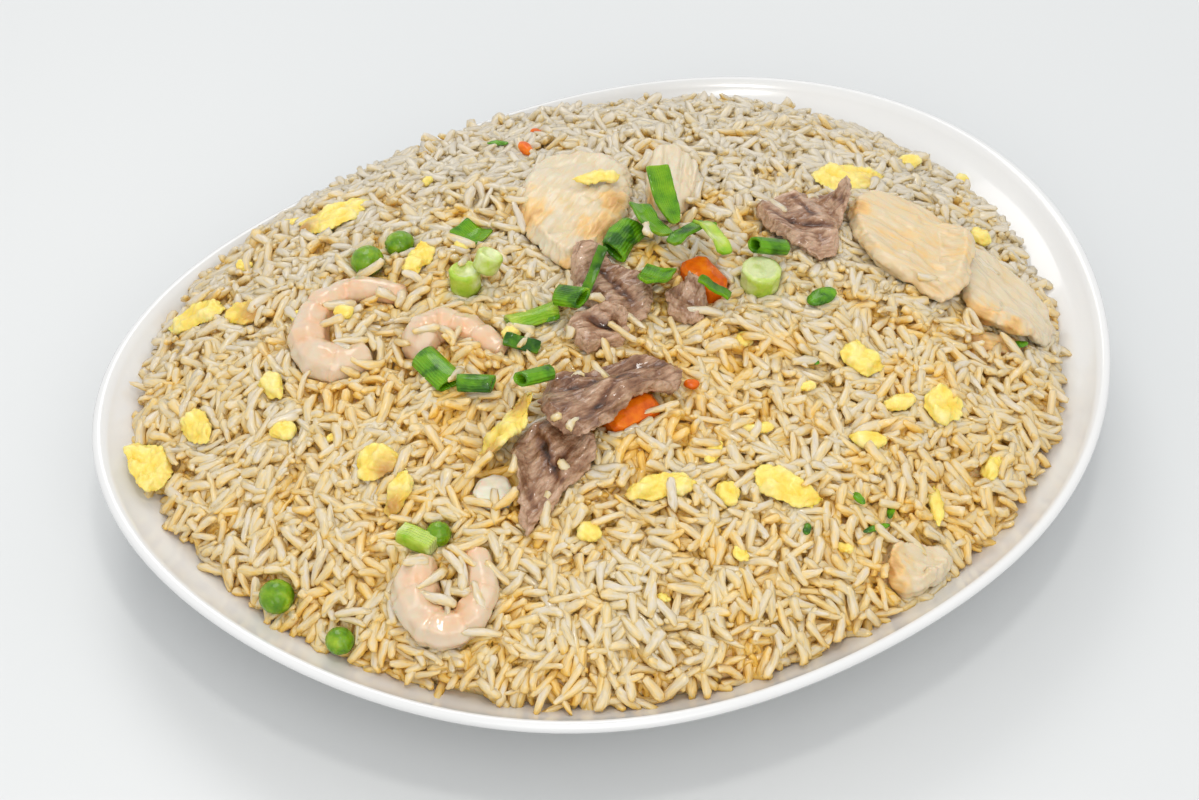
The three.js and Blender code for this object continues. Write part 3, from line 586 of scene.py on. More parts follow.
def creases(points, lines):
    """Grooves from (x1, y1) to (x2, y2), each a width and a depth in millimetres."""
    total = np.zeros(len(points))
    for x1, y1, x2, y2, width, depth in lines:
        run = np.array([x2 - x1, y2 - y1], float)
        offset = points[:, :2] - (x1, y1)
        t = np.clip(offset @ run / (run @ run), 0, 1)
        gap = np.linalg.norm(offset - t[:, None] * run, axis=1)
        gap = gap + CREASE_WANDER * rough(points, RAGGED_SIZE, 5.0)
        ends = np.sin(np.pi * np.clip(t, 0.02, 0.98)) ** 0.5
        total = np.maximum(total, depth * ends * np.exp(-((gap / width) ** 2)))
    return total


# %% [markdown]
# Chicken breast is pale, with fine fibres. It turns golden in the wok in patches, most along
# its edges. Its low places and the valleys between its fibre bundles are painted darker as shade.

# %% chicken
CHICKEN = {
    "chicken_top": dict(
        grain=62, brown=[(-22, 22, 7), (-2, 14, 7), (1, 26, 5), (-12, 0, 4)],
        lines=[(-18, 12, -4, 17, 1.0, 0.9), (-8, 6, -2, 24, 0.9, 0.6),
               (-2, 24, 5, 27, 0.8, 0.7), (-20, 40, -6, 46, 1.2, 0.4)]),
    "chicken_fold": dict(
        grain=80, brown=[(12, 30, 4)],
        lines=[(18, 30, 20, 54, 0.7, 0.9), (15, 26, 15, 52, 0.7, 0.9),
               (21, 32, 22, 50, 0.6, 0.7)]),
    "chicken_right": dict(
        grain=-28, tint=0.3, brown=[(66, 30, 3)],
        lines=[(68, 27, 90, 16, 1.1, 0.5), (66, 20, 86, 8, 1.0, 0.5)]),
    "chicken_end": dict(
        grain=-40, tint=0.05, brown=[(97, 1, 4), (105, -3, 4), (92, 4, 3)],
        lines=[(96, 22, 112, 8, 1.4, 0.5), (100, 0, 104, 8, 0.8, 0.8)]),
    "chicken_sliver": dict(grain=10, brown=[(95, -6, 6), (106, -2, 5)], lines=[]),
    "chicken_front": dict(
        grain=-20, brown=[(68, -80, 4)], lines=[(68, -77, 80, -75, 1.0, 0.5)]),
}
CHICKEN_VOXEL = 0.45
CHICKEN_FIBRE = (9.0, 1.2, 2.0)
CHICKEN_BUNDLE, DEEPEST_BUNDLE = (16.0, 3.2, 5.0), 0.3
CHICKEN_LUMP = (8.0, 5.0, 6.0)
CHICKEN_TEAR = 2.6
CHICKEN_STREAK = (0.16, 1, 0.6)

chicken_finish = Finish("chicken", 0.45, sink_mm=1.4, sink=0.3, coat=(0.4, 0.2))
own = chicken_finish.painted("own", "Vector")
streaks = chicken_finish.noise(0.9, 3, place=own)
browning_and_shade = chicken_finish.sum(
    (chicken_finish.painted("brown"), 0.75), (chicken_finish.noise(6, 3), 0.4),
    (streaks, 0.6), (1.0, -0.42))
chicken_finish.colour(chicken_finish.ramp(
    browning_and_shade, (0.0, (0.65, 0.565, 0.41)), (0.35, (0.66, 0.52, 0.31)),
    (0.65, (0.74, 0.48, 0.18)), (1.0, (0.52, 0.27, 0.07))))
chicken_finish.bump(chicken_finish.sum((streaks, 1.0), (chicken_finish.noise(2.4, 2), 0.4)), 0.35)


def carve_chicken(node, grain, brown, lines, tint=0.0):
    piece = fine_copy(node, CHICKEN_VOXEL)
    points = points_of(piece)
    turned = along_grain(points, grain)
    bundles = np.minimum(np.abs(rough(turned, CHICKEN_BUNDLE, 3.0)), DEEPEST_BUNDLE)
    fibres = 0.25 * rough(turned, CHICKEN_FIBRE, 3.0, 2) + 1.1 * bundles
    lumps = 0.7 * rough(turned, CHICKEN_LUMP, 9.0, 2)
    flank = 1 - np.abs(normals_of(piece)[:, 2])
    torn = 0.8 * flank * rough(points, CHICKEN_TEAR, 5.0, 2)
    push(piece, fibres + lumps + torn - 1.4 * creases(points, lines))
    scorched = np.maximum(spots(points, brown, ragged=0.6), tint)
    # The brown attribute is real browned spots plus painted shade: low lumps and the valleys
    # between fibre bundles are darker.
    valleys = DEEPEST_BUNDLE - bundles
    write_attribute(piece, "brown", scorched - 0.2 * lumps + 0.6 * valleys)
    write_attribute(piece, "own", turned * CHICKEN_STREAK * MM)
    return serve(piece, chicken_finish, "chicken", node)


toppings = [carve_chicken(node, **look) for node, look in CHICKEN.items()]
print("chicken:", len(toppings), "slices")

# %% [markdown]
# Beef is sliced thin across the grain and braised, so it is grey brown and glossy, folds
# over itself and shows coarser fibres. Its edges are paler, and its creases and hollows are
# painted darker as shade.

# %% beef
BEEF = {
    "beef_centre": dict(
        grain=30, lines=[(-4, 0, 6, -14, 1.0, 1.2), (-8, -6, 0, -14, 0.8, 0.8)]),
    "beef_small": dict(grain=80, lines=[(17, -10, 22, -16, 0.8, 0.6)]),
    "beef_front": dict(
        grain=50, lines=[(-18, -56, -12, -70, 1.2, 1.4), (-8, -58, -14, -66, 1.0, 1.2),
                         (-22, -66, -17, -78, 0.9, 0.9)]),
    "beef_curl": dict(grain=15, lines=[(-6, -22, 2, -24, 1.1, 1.3)]),
    "beef_right": dict(
        grain=20, lines=[(42, 22, 58, 18, 1.0, 1.3), (48, 32, 54, 22, 0.9, 1.2),
                         (58, 36, 62, 24, 0.8, 0.8)]),
    "beef_top": dict(
        grain=35, lines=[(-12, -46, 6, -44, 1.2, 0.9), (0, -40, 12, -38, 1.0, 0.8),
                         (-6, -58, 2, -46, 1.0, 1.0)], sauce=0.2),
}
BEEF_VOXEL = 0.4
BEEF_WRINKLE = (2.4, 0.9, 1.2)
BEEF_PLEAT, DEEPEST_PLEAT = (11.0, 3.0, 5.0), 0.4
BEEF_FOLD = (9.0, 4.0, 5.0)
BEEF_TEAR = 2.2
BEEF_STREAK = (0.22, 1, 0.7)

beef_finish = Finish("beef", 0.5, sink_mm=0.5, sink=0.1, shine=0.2, coat=(0.8, 0.13))
own = beef_finish.painted("own", "Vector")
strands = beef_finish.noise(0.6, 3, place=own)
shade = beef_finish.sum(
    (beef_finish.painted("fold"), 0.9), (beef_finish.noise(4, 4), 1.0),
    (strands, 0.55), (1.0, -0.55))
beef_finish.colour(beef_finish.ramp(
    shade, (0.0, (0.53, 0.34, 0.22)), (0.3, (0.30, 0.155, 0.08)),
    (0.6, (0.15, 0.055, 0.02)), (1.0, (0.03, 0.010, 0.004))))
beef_finish.bump(beef_finish.sum((strands, 1.2), (beef_finish.noise(0.9, 4), 0.8)), 0.6)


def carve_beef(node, grain, lines, sauce=0.0):
    piece = fine_copy(node, BEEF_VOXEL)
    points = points_of(piece)
    turned = along_grain(points, grain)
    wrinkles = 0.12 * rough(turned, BEEF_WRINKLE, 3.0, 2)
    pleats = np.minimum(np.abs(rough(turned, BEEF_PLEAT, 4.0, 2)), DEEPEST_PLEAT)
    folds = 0.5 * rough(turned, BEEF_FOLD, 9.0, 2) + 0.8 * pleats - 0.3
    grooves = 0.6 * creases(points, lines)
    rim = 1 - np.clip(normals_of(piece)[:, 2], 0, 1)
    torn = 0.8 * rim * rough(points, BEEF_TEAR, 5.0, 2)
    push(piece, wrinkles + folds + torn - grooves)
    # Painted shade: creases, low wrinkles and the hollows between pleats are painted darker.
    shaded = sauce + grooves - wrinkles + 0.8 * (0.2 - pleats) - 0.35 * rim
    write_attribute(piece, "fold", np.clip(shaded, -0.4, 1))
    write_attribute(piece, "own", turned * BEEF_STREAK * MM)
    return serve(piece, beef_finish, "beef", node)


toppings += [carve_beef(node, **look) for node, look in BEEF.items()]
print("beef:", len(BEEF), "slices")

# %% [markdown]
# ## Egg
# Scrambled egg sets in soft folds and breaks into flakes with a torn, spongy surface.
# Three sizes of noise do that: folds, crinkles and sponge. Some flakes are browned on one
# side, and hollows are painted a deeper, darker yellow than the crests as shade.

# %% egg
EGG_BROWN = {
    "egg_browned": [(-92, 0, 5)],
    "egg_folded": [(-30, -64, 4), (-22, -52, 3)],
    "egg_back_left": [(-82, 36, 3)],
    "egg_back_right": [(74, 50, 4)],
    "egg_front_left": [(-54, -62, 3)],
    "egg_strip_left": [(-52, -72, 3)],
    "egg_front_strip": [(2, -72, 2)],
}
EGG_VOXEL = 0.4
EGG_FOLD, EGG_CRINKLE, EGG_SPONGE = 3.8, 1.9, 1.0

egg_finish = Finish("scrambled_egg", 0.48, sink_mm=1.2, sink=0.3, coat=(0.4, 0.2))
depth = egg_finish.sum(
    (egg_finish.painted("hollow"), 0.55), (egg_finish.noise(2.5, 3), 0.5), (1.0, -0.12))
yolk_and_shade = egg_finish.ramp(
    depth, (0.0, (0.82, 0.74, 0.36)), (0.4, (0.84, 0.68, 0.15)),
    (0.75, (0.82, 0.56, 0.04)), (1.0, (0.64, 0.36, 0.02)))
egg_finish.colour(egg_finish.mix(egg_finish.painted("brown"), yolk_and_shade, (0.42, 0.17, 0.02)))
egg_finish.bump(egg_finish.noise(0.8, 3), 0.15)


def fluff(piece, brown):
    points = points_of(piece)
    crinkles = 0.7 * np.abs(rough(points, EGG_CRINKLE, 8.0))
    folds = rough(points, EGG_FOLD, 2.0) + crinkles - 0.3
    sponge = 0.2 * rough(points, EGG_SPONGE, 4.0)
    push(piece, folds + sponge)
    # Painted shade: the hollows between the folds get a deeper, darker yellow.
    write_attribute(piece, "hollow", np.clip(0.5 - 0.7 * folds, 0, 1))
    write_attribute(piece, "brown", 0.85 * spots(points, brown, ragged=0.5))


for node in nodes_of("egg"):
    piece = fine_copy(node, EGG_VOXEL)
    fluff(piece, EGG_BROWN.get(node, []))
    toppings.append(serve(piece, egg_finish, "egg", node))
print("egg:", len(nodes_of("egg")), "flakes")

# %% [markdown]
# ## Shrimp
# A peeled shrimp is a tapering body of rings. Cooked, it curls, each ring bulges over the
# next, and its back turns coral while the flesh stays milky. The spine of each curl is
# known from the solid, so every point of the copy is measured along and round it.

# %% shrimp
SHRIMP = {
    "shrimp_left": [(-61, -22), (-69, -26), (-76, -18), (-75, -4), (-67, 2), (-53, -2)],
    "shrimp_middle": [(-49, -24), (-45, -16), (-37, -17), (-27, -26)],
    "shrimp_front": [(-45, -85), (-46, -94), (-41, -101), (-35, -101), (-30, -94), (-32, -84)],
}
SHRIMP_VOXEL = 0.45
SPINE_POINTS = 160
BODY_RADIUS = 5
RINGS, RING_SLANT = 5, 0.12
RING_STEP, RING_GROOVE, RING_LIP = 0.25, 0.2, 0.15


def smooth_line(corners, count):
    """A curve through the corners, as evenly numbered points."""
    padded = [2 * np.array(corners[0]) - corners[1], *map(np.array, corners),
              2 * np.array(corners[-1]) - corners[-2]]
    line = []
    for u in np.linspace(0, len(corners) - 1 - 1e-6, count):
        k, t = int(u), u - int(u)
        a, b, c, d = padded[k], padded[k + 1], padded[k + 2], padded[k + 3]
        line.append(0.5 * (2 * b + (c - a) * t + (2 * a - 5 * b + 4 * c - d) * t**2
                           + (3 * b - a - 3 * c + d) * t**3))
    return np.array(line)


def carve_shrimp(node, corners):
    piece = fine_copy(node, SHRIMP_VOXEL, smooth=8)
    line = smooth_line(corners, SPINE_POINTS)
    heading = np.gradient(line, axis=0)
    points = points_of(piece)
    nearest = np.argmin(((points[:, None, :2] - line[None]) ** 2).sum(2), axis=1)
    along = nearest / (SPINE_POINTS - 1)
    offset = points[:, :2] - line[nearest]
    side = heading[nearest, 0] * offset[:, 1] - heading[nearest, 1] * offset[:, 0]
    bend = np.sign(np.cross(line[-1] - line[0], line[SPINE_POINTS // 2] - line[0]))
    outer = bend * np.sign(side) * np.hypot(*offset.T) / BODY_RADIUS
    outer = np.clip(0.5 - 0.5 * outer, 0, 1)
    phase = (RINGS * along + RING_SLANT * outer) % 1
    ring = RING_STEP * np.sqrt(phase) - RING_GROOVE * np.exp(-((phase / 0.08) ** 2))
    ring -= RING_LIP * np.exp(-(((1 - phase) / 0.05) ** 2))
    push(piece, ring + 0.35 * rough(points, 4.5, 3.0, 2) + 0.1 * rough(points, 1.5, 3.0))
    seam = np.exp(-((np.minimum(phase, 1 - phase) / 0.07) ** 2))
    write_attribute(piece, "ring", seam)
    write_attribute(piece, "coral", np.clip(outer + 0.25 * rough(points, 5.0, 1.0), 0, 1))
    return serve(piece, shrimp_finish, "shrimp", node)


shrimp_finish = Finish("shrimp", 0.35, sink_mm=2.0, sink=0.45, coat=(0.9, 0.12))
blush = shrimp_finish.sum(
    (shrimp_finish.painted("coral"), 0.45), (shrimp_finish.painted("ring"), 0.12),
    (shrimp_finish.noise(5, 3), 0.9), (1.0, -0.38))
shrimp_finish.colour(shrimp_finish.ramp(
    blush, (0.0, (0.64, 0.535, 0.39)), (0.4, (0.69, 0.465, 0.285)),
    (0.75, (0.73, 0.375, 0.165)), (1.0, (0.75, 0.30, 0.08))))
shrimp_finish.bump(shrimp_finish.noise(1.1, 2), 0.06)
toppings += [carve_shrimp(node, corners) for node, corners in SHRIMP.items()]
print("shrimp:", len(SHRIMP))

# %% [markdown]
# ## Green onion
# A green onion leaf is a hollow tube, dark and waxy outside, paler and wet inside, with
# fine veins along it. Cut across, it gives rings and short tubes; cut again, strips. Near
# the root the leaves are pale and packed. A skin this thin is smoothed by subdivision,
# with its cut edges creased so that they stay sharp. The veins need to run along each
# piece, so how far a point lies along and across its own piece is painted on it.


# %% crisp, smooth copies of thin solids
def crisp_copy(node, levels, angle, crease):
    piece = copy_of(node)
    edit(piece, "DESELECT")
    bpy.ops.mesh.edges_select_sharp(sharpness=math.radians(angle))
    bpy.ops.transform.edge_crease(value=crease)
    done()
    subdivide(piece, levels)
    return piece


def own_axes(points):
    """Where each point lies along, across and above its own piece, from -1 to 1."""
    centred = points - points.mean(0)
    _, axes = np.linalg.eigh(centred.T @ centred)
    local = centred @ axes[:, ::-1]
    return local / np.abs(local).max(0)


# %% green onion
PALE = {"scallion_pale": 0.85, "scallion_pale_small": 0.85, "scallion_ring": 0.95,
        "scallion_half_ring": 0.7, "scallion_long_slice": 0.45, "scallion_cube": 0.1,
        "scallion_wide_tube": 0.12, "scallion_leaf_high": 0.2, "scallion_leaf_low": 0.15,
        "scallion_centre": 0.2, "scallion_wedge": 0.0, "scallion_dark": 0.02,
        "scallion_dark_left": 0.05, "scallion_dark_right": 0.1}
USUAL_PALE = 0.08
SLICES = ("scallion_ring", "scallion_half_ring", "scallion_pale", "scallion_pale_small")
LEAF_PATCH = 0.12
CUT_END, CUT_LENGTH = 0.93, 0.07
SLICE_HEART = 0.55
VEINS, VEIN_WANDER = 34.0, 8.0

leaf_finish = Finish("green_onion", 0.4, sink_mm=0.6, sink=0.1, shine=0.1, coat=(0.5, 0.1))
veins = leaf_finish.node("ShaderNodeMath", operation="SINE")
leaf_finish.put(leaf_finish.sum(
    (leaf_finish.painted("across"), VEINS), (leaf_finish.noise(3, 2), VEIN_WANDER)),
    veins.inputs[0])
paleness = leaf_finish.sum(
    (leaf_finish.painted("pale"), 1.0), (leaf_finish.noise(4, 3), 0.9),
    (veins.outputs[0], 0.012), (1.0, -0.37))
leaf_finish.colour(leaf_finish.ramp(
    paleness, (0.0, (0.02, 0.10, 0.002)), (0.2, (0.11, 0.31, 0.002)),
    (0.45, (0.20, 0.41, 0.004)), (0.72, (0.42, 0.55, 0.06)), (1.0, (0.66, 0.71, 0.38))))
leaf_finish.bump(
    leaf_finish.sum((veins.outputs[0], 0.5), (leaf_finish.noise(1.2, 3), 1.2)), 0.2)


def dress_leaf(node):
    """Cut ends are paler than the leaf, and a slice is palest at its heart."""
    piece = crisp_copy(node, levels=2, angle=50, crease=0.75)
    points = points_of(piece)
    local = own_axes(points)
    push(piece, 0.12 * rough(points, 2.4, 6.0, 2))
    cut = np.clip((np.abs(local[:, 0]) - CUT_END) / CUT_LENGTH, 0, 1)
    if node in SLICES:
        radius = np.hypot(*(points - points.mean(0))[:, :2].T)
        local[:, 1] = 0
        cut = -2.0 * np.clip(radius / radius.max() - SLICE_HEART, 0, 1)
    patches = LEAF_PATCH * rough(points, 6.0, 12.0)
    write_attribute(piece, "across", local[:, 1])
    write_attribute(piece, "pale", PALE.get(node, USUAL_PALE) + 0.3 * cut + patches)
    return serve(piece, leaf_finish, "scallion", node)


toppings += [dress_leaf(node) for node in nodes_of("scallion")]
print("green onion:", len(nodes_of("scallion")), "pieces")

# %% [markdown]
# ## Peas, carrot and onion
# A cooked pea has a tight, faintly wrinkled skin. Diced carrot keeps flat, wet cut faces
# with softened edges. Onion turns glassy white and shows the lines of its layers.

# %% peas
pea_finish = Finish("pea", 0.35, sink_mm=1.0, sink=0.2, shine=0.1, coat=(0.6, 0.08))
pea_finish.colour(pea_finish.ramp(
    pea_finish.noise(3, 4), (0.25, (0.06, 0.17, 0.002)), (0.5, (0.14, 0.29, 0.003)),
    (0.75, (0.30, 0.44, 0.02))))
pea_finish.bump(pea_finish.noise(1.6, 3), 0.12)
PEA_WRINKLE, WRINKLE_WIDTH = (2.6, 1.6, 2.2), 0.08
for node in nodes_of("pea"):
    piece = copy_of(node)
    subdivide(piece, 2)
    points = points_of(piece)
    ridge = np.abs(rough(points, PEA_WRINKLE, 3.0)) / WRINKLE_WIDTH
    wrinkles = 0.3 * np.exp(-(ridge**2))
    push(piece, 0.12 * rough(points, 3.5, 1.0) - wrinkles + 0.15)
    toppings.append(serve(piece, pea_finish, "pea", node))
print("peas:", len(nodes_of("pea")))

# %% carrot
carrot_finish = Finish("carrot", 0.4, sink_mm=0.8, sink=0.15, shine=0.1, coat=(0.4, 0.1))
carrot_finish.colour(carrot_finish.ramp(
    carrot_finish.noise(3.2, 3), (0.25, (0.50, 0.07, 0.001)), (0.5, (0.74, 0.14, 0.002)),
    (0.75, (0.86, 0.24, 0.005))))
carrot_finish.bump(carrot_finish.noise(1.4, 4), 0.2)
for node in ("carrot_front", "carrot_back"):
    piece = crisp_copy(node, levels=3, angle=40, crease=0.55)
    push(piece, 0.12 * rough(points_of(piece), 2.5, 3.0, 2))
    toppings.append(serve(piece, carrot_finish, "carrot", node))

# %% onion
onion_finish = Finish("onion", 0.22, sink_mm=2.5, sink=0.5, coat=(0.3, 0.1))
onion_finish.colour(onion_finish.ramp(
    onion_finish.noise(1.5, 2, stretch=(20, 5)), (0.3, (0.70, 0.64, 0.48)),
    (0.7, (0.78, 0.74, 0.62))))
onion_finish.bump(onion_finish.noise(1.3, 2, stretch=(20, 6)), 0.1)
onion = crisp_copy("onion", levels=3, angle=40, crease=0.3)
points = points_of(onion)
push(onion, 0.6 * rough(points, 6.0, 3.0) + 0.2 * rough(points, 2.0) - 0.3)
toppings.append(serve(onion, onion_finish, "onion", "onion"))
print("toppings:", len(toppings))

# %% [markdown]
# ## Crumbs
# Small crumbs of egg, carrot and leaf are scattered in the rice. In the solid they are
# bumps on the heap; here each is a little lump of its own food, half sunk in the grains.
# A crumb is given by its place, its length and width, the way it points, and how far it
# rises above the slow form of the heap.


# %% a crumb
def crumb(x, y, length, width, turn, rise=0.4, height=0.75):
    bpy.ops.object.select_all(action="DESELECT")
    bpy.ops.mesh.primitive_ico_sphere_add(subdivisions=4, radius=1)
    piece = bpy.context.object
    ball = points_of(piece) * MM
    points = ball * (length / 2, width / 2, width / 2 * height)
    centre = (x, y, float(heap_height(x, y)) + rise)
    set_points(piece, along_grain(points, -turn) + centre)
    return piece


def join(pieces, name):
    bpy.ops.object.select_all(action="DESELECT")
    for piece in pieces:
        piece.select_set(True)
    bpy.context.view_layer.objects.active = pieces[0]
    bpy.ops.object.join()
    pieces[0].name = name
    return pieces[0]


# %% egg crumbs
ON_SHRIMP = (-68, -9)
SHRIMP_BACK = 56
EGG_CRUMBS = [
    (-81, -43, 7, 6, -10), (-80, -5, 5, 4, 40), (-39, 13, 7, 5, 54), (-86, 44, 7, 5, 30),
    (84, 75, 8, 5, 18), (102, 83, 6, 4, 10), (100, 40, 8, 6, -47), (-25, -22, 5, 4, 10),
    (33, -23, 6, 4, 7), (72, -36, 9, 5, 31), (63, -49, 10, 5, -8), (36, -50, 8, 4, -5),
    (25, -58, 8, 4, -110), (28, -69, 8, 6, -90), (80, -61, 15, 3.6, -91), (95, -46, 9, 5, -108),
    (-5, -81, 6, 6, 0), (31, -84, 6, 4, -73), (-68, -48, 4, 3, 20), (-94, -20, 4, 3, 70),
    (48, -36, 5, 3, 30), (12, -96, 4, 3, 0), (-30, -98, 4, 3, 40), (-98, 28, 5, 4, 10),
    (-50, 52, 5, 3, 60), (56, -78, 4, 3, -30),
    (*ON_SHRIMP, 6, 5, 20, SHRIMP_BACK - float(heap_height(*ON_SHRIMP))),
]
egg_crumbs = join([crumb(*place) for place in EGG_CRUMBS], "egg_crumbs")
fluff(egg_crumbs, [(-92, -20, 3)])
toppings.append(serve(egg_crumbs, egg_finish, "egg", "rice"))

# %% carrot and leaf crumbs
CARROT_CRUMBS = [(-23, 65, 6, 3.4, -60, 0.6), (-20, 76, 5, 3, -50, 0.6), (20, -39, 4, 3, 0, 1.0)]
carrot_crumbs = join([crumb(*place) for place in CARROT_CRUMBS], "carrot_crumbs")
push(carrot_crumbs, 0.3 * rough(points_of(carrot_crumbs), 2.0, 3.0))
toppings.append(serve(carrot_crumbs, carrot_finish, "carrot", "rice"))

LEAF_CRUMBS = [
    (50, -27, 5, 2.4, -30), (-31, 72, 6, 2.2, 0), (106, -3, 6, 2.6, 10), (54, -5, 9, 5.5, 38),
    (60, -66, 5, 2.2, -60), (64, -72, 7, 2, 20), (68, -67, 5, 2, 70), (-15, -17, 5, 3, 20),
    (47, -76, 4, 2, 80),
]
leaf_crumbs = join(
    [crumb(*place, rise=0.9, height=0.45) for place in LEAF_CRUMBS], "leaf_crumbs")
points = points_of(leaf_crumbs)
push(leaf_crumbs, 0.3 * rough(points, 2.0, 3.0, 2))
write_attribute(leaf_crumbs, "across", rough(points, 6.0, 2.0))
write_attribute(leaf_crumbs, "pale", np.full(len(points), 0.05))
toppings.append(serve(leaf_crumbs, leaf_finish, "scallion", "rice"))

# %% a thick chunk from near the root
CHUNK = dict(x=-46, y=-80, size=(10, 5, 4), turn=-31, rise=1.2, bevel=0.7)
VEIN_SPREAD = 4
bpy.ops.object.select_all(action="DESELECT")
bpy.ops.mesh.primitive_cube_add(size=1)
chunk = bpy.context.object
chunk.name = "stem_chunk"
boxed = along_grain(points_of(chunk) * MM * CHUNK["size"], -CHUNK["turn"])
centre = (CHUNK["x"], CHUNK["y"], heap_height(CHUNK["x"], CHUNK["y"]) + CHUNK["rise"])
set_points(chunk, boxed + centre)
apply(chunk, "BEVEL", width=CHUNK["bevel"] * MM, segments=2, limit_method="NONE")
subdivide(chunk, 3)
points = points_of(chunk)
push(chunk, 0.2 * rough(points, 3.0, 2.0, 2))
local = along_grain(points - centre, CHUNK["turn"])
to_end = np.abs(local[:, 0] / (CHUNK["size"][0] / 2))
write_attribute(chunk, "across", local[:, 1] / VEIN_SPREAD)
write_attribute(chunk, "pale", 0.55 + 0.25 * to_end**3)
toppings.append(serve(chunk, leaf_finish, "scallion", "rice"))

# %% [markdown]
# ## Grains
# Rice is too many pieces to place by hand and too visible to fake with a bump. Each grain
# is dropped on what lies below it, like a stick on a pile: it comes to rest on the two
# highest points on either side of its middle, which sets its height and its tilt. The
# pile is kept as a map of heights. A second map holds the undersides of the toppings, so
# grains tuck under a slice where there is room and lean on its edge where there is none.
# Off a pea, which is round and slippery, they slide.

# %% maps of the heap
CELL = 0.6
XS = np.arange(-136, 136, CELL)
YS = np.arange(-129, 129, CELL)
GX, GY = np.meshgrid(XS, YS, indexing="ij")
GRAIN_BED = 2.5
LUMP_SIZE = 15
LUMPS = 2.4
LUMP_LEVEL, LUMP_EDGE, LUMP_FADE = 0.2, 0.97, 0.1
STEEPEST = 2
NOTHING = -1e3

plate_map = plate_height(GX, GY)
heap_map = np.where(heap_out(GX, GY) < 1, heap_height(GX, GY), plate_map)
inner = np.clip((LUMP_EDGE - heap_out(GX, GY)) / LUMP_FADE, 0, 1)
grid = np.column_stack([GX.ravel(), GY.ravel(), np.zeros(GX.size)])
lumps = rough(grid, LUMP_SIZE, 5.0, 2).reshape(GX.shape) - LUMP_LEVEL
heap_map += LUMPS * inner * lumps
slopes = np.gradient(heap_map, CELL)
steep = np.clip(np.sqrt(1 + slopes[0] ** 2 + slopes[1] ** 2), 1, STEEPEST)
cover = np.full(GX.shape, NOTHING)
lid = np.full(GX.shape, -NOTHING)
HIGH, DEEP = 0.2, -0.1


def band(low, high, first):
    """The rows or columns of the maps from one place to another."""
    return range(max(0, int((low - first) / CELL)), int((high - first) / CELL) + 2)


def stamp(piece):
    """Writes a topping's top and underside into the maps."""
    tree = BVHTree.FromObject(piece, bpy.context.evaluated_depsgraph_get())
    points = points_of(piece)
    (x0, y0), (x1, y1) = points[:, :2].min(0), points[:, :2].max(0)
    for i in band(x0, x1, XS[0]):
        for j in band(y0, y1, YS[0]):
            x, y = XS[i] * MM, YS[j] * MM
            top = tree.ray_cast((x, y, HIGH), (0, 0, -1))[0]
            if top is None:
                continue
            low = tree.ray_cast((x, y, DEEP), (0, 0, 1))[0]
            cover[i, j] = max(cover[i, j], top.z / MM)
            lid[i, j] = min(lid[i, j], low.z / MM)


for piece in toppings:
    stamp(piece)
covered = cover > 0
print("covered by toppings:", int(covered.sum() * CELL * CELL / 100), "cm2")

# %% [markdown]
# Under the grains lies the core: packed rice that only shows in the gaps, so it is coloured a
# deep gold as painted shade.

# %% core
CORE_STEPS = 160
CORE_SHARES = np.linspace(0, 0.97, 70)
UNDER_STRIDE = 6
CORE_CLEAR = 1.2
CORE_DROP = 0.2
PLATE_GAP = 0.4
SKIN = 0.1


def around(reach):
    """Every offset within so many cells, with its distance in millimetres."""
    for i in range(-reach, reach + 1):
        for j in range(-reach, reach + 1):
            if i * i + j * j <= reach * reach:
                yield (i, j), CELL * math.hypot(i, j)


def shrink(heights, depth):
    """The surface a ball of this radius leaves when it rolls below the heap's skin."""
    low = heights - depth
    for offset, distance in around(int(depth / CELL)):
        moved = np.roll(heights, offset, axis=(0, 1))
        low = np.minimum(low, moved - math.sqrt(depth**2 - distance**2))
    return low


core_map = np.minimum(shrink(heap_map, GRAIN_BED), lid - CORE_CLEAR)
core_map = np.maximum(core_map, plate_map + PLATE_GAP)


def cells(x, y):
    """The rows and columns of the maps at these places."""
    i = np.clip(((x - XS[0]) / CELL).round().astype(int), 0, len(XS) - 1)
    j = np.clip(((y - YS[0]) / CELL).round().astype(int), 0, len(YS) - 1)
    return i, j


top_profile = [(s, 1.0) for s in CORE_SHARES]
under_profile = [(s, -1.0) for s in CORE_SHARES[:0:-UNDER_STRIDE]] + [(0, -1.0)]
core = spin_profile("rice_core", top_profile + under_profile, CORE_STEPS)
points = points_of(core)
share, angle = polar(points[:, 0], points[:, 1], (0, 0))
x, y = pressed(share * rice_share(angle), angle)
floor = plate_height(x, y) + SKIN
z = np.where(points[:, 2] > 0, core_map[cells(x, y)] - CORE_DROP, floor)
set_points(core, np.column_stack([x, y, np.maximum(z, floor)]))

core_finish = Finish("packed_rice", 0.5, sink_mm=2.0, sink=0.2)
# A deep gold: painted shade for the gaps between the grains.
core_finish.colour(core_finish.ramp(
    core_finish.noise(1.6, 3), (0.3, (0.90, 0.60, 0.20)), (0.7, (0.90, 0.70, 0.38))))
core_finish.bump(core_finish.noise(1.6, 3), 1.0)
serve(core, core_finish, "rice", "rice")

# %% [markdown]
# A cooked long grain is 8 or 9 mm long and about 2.4 mm wide, a little flat, blunt at both
# ends, slightly bent, and sometimes broken. One grain of each kind is modelled and then
# copied into one mesh for each kind, turned, tilted and stretched a little every time. It
# has only a few dozen faces, because there are thousands.

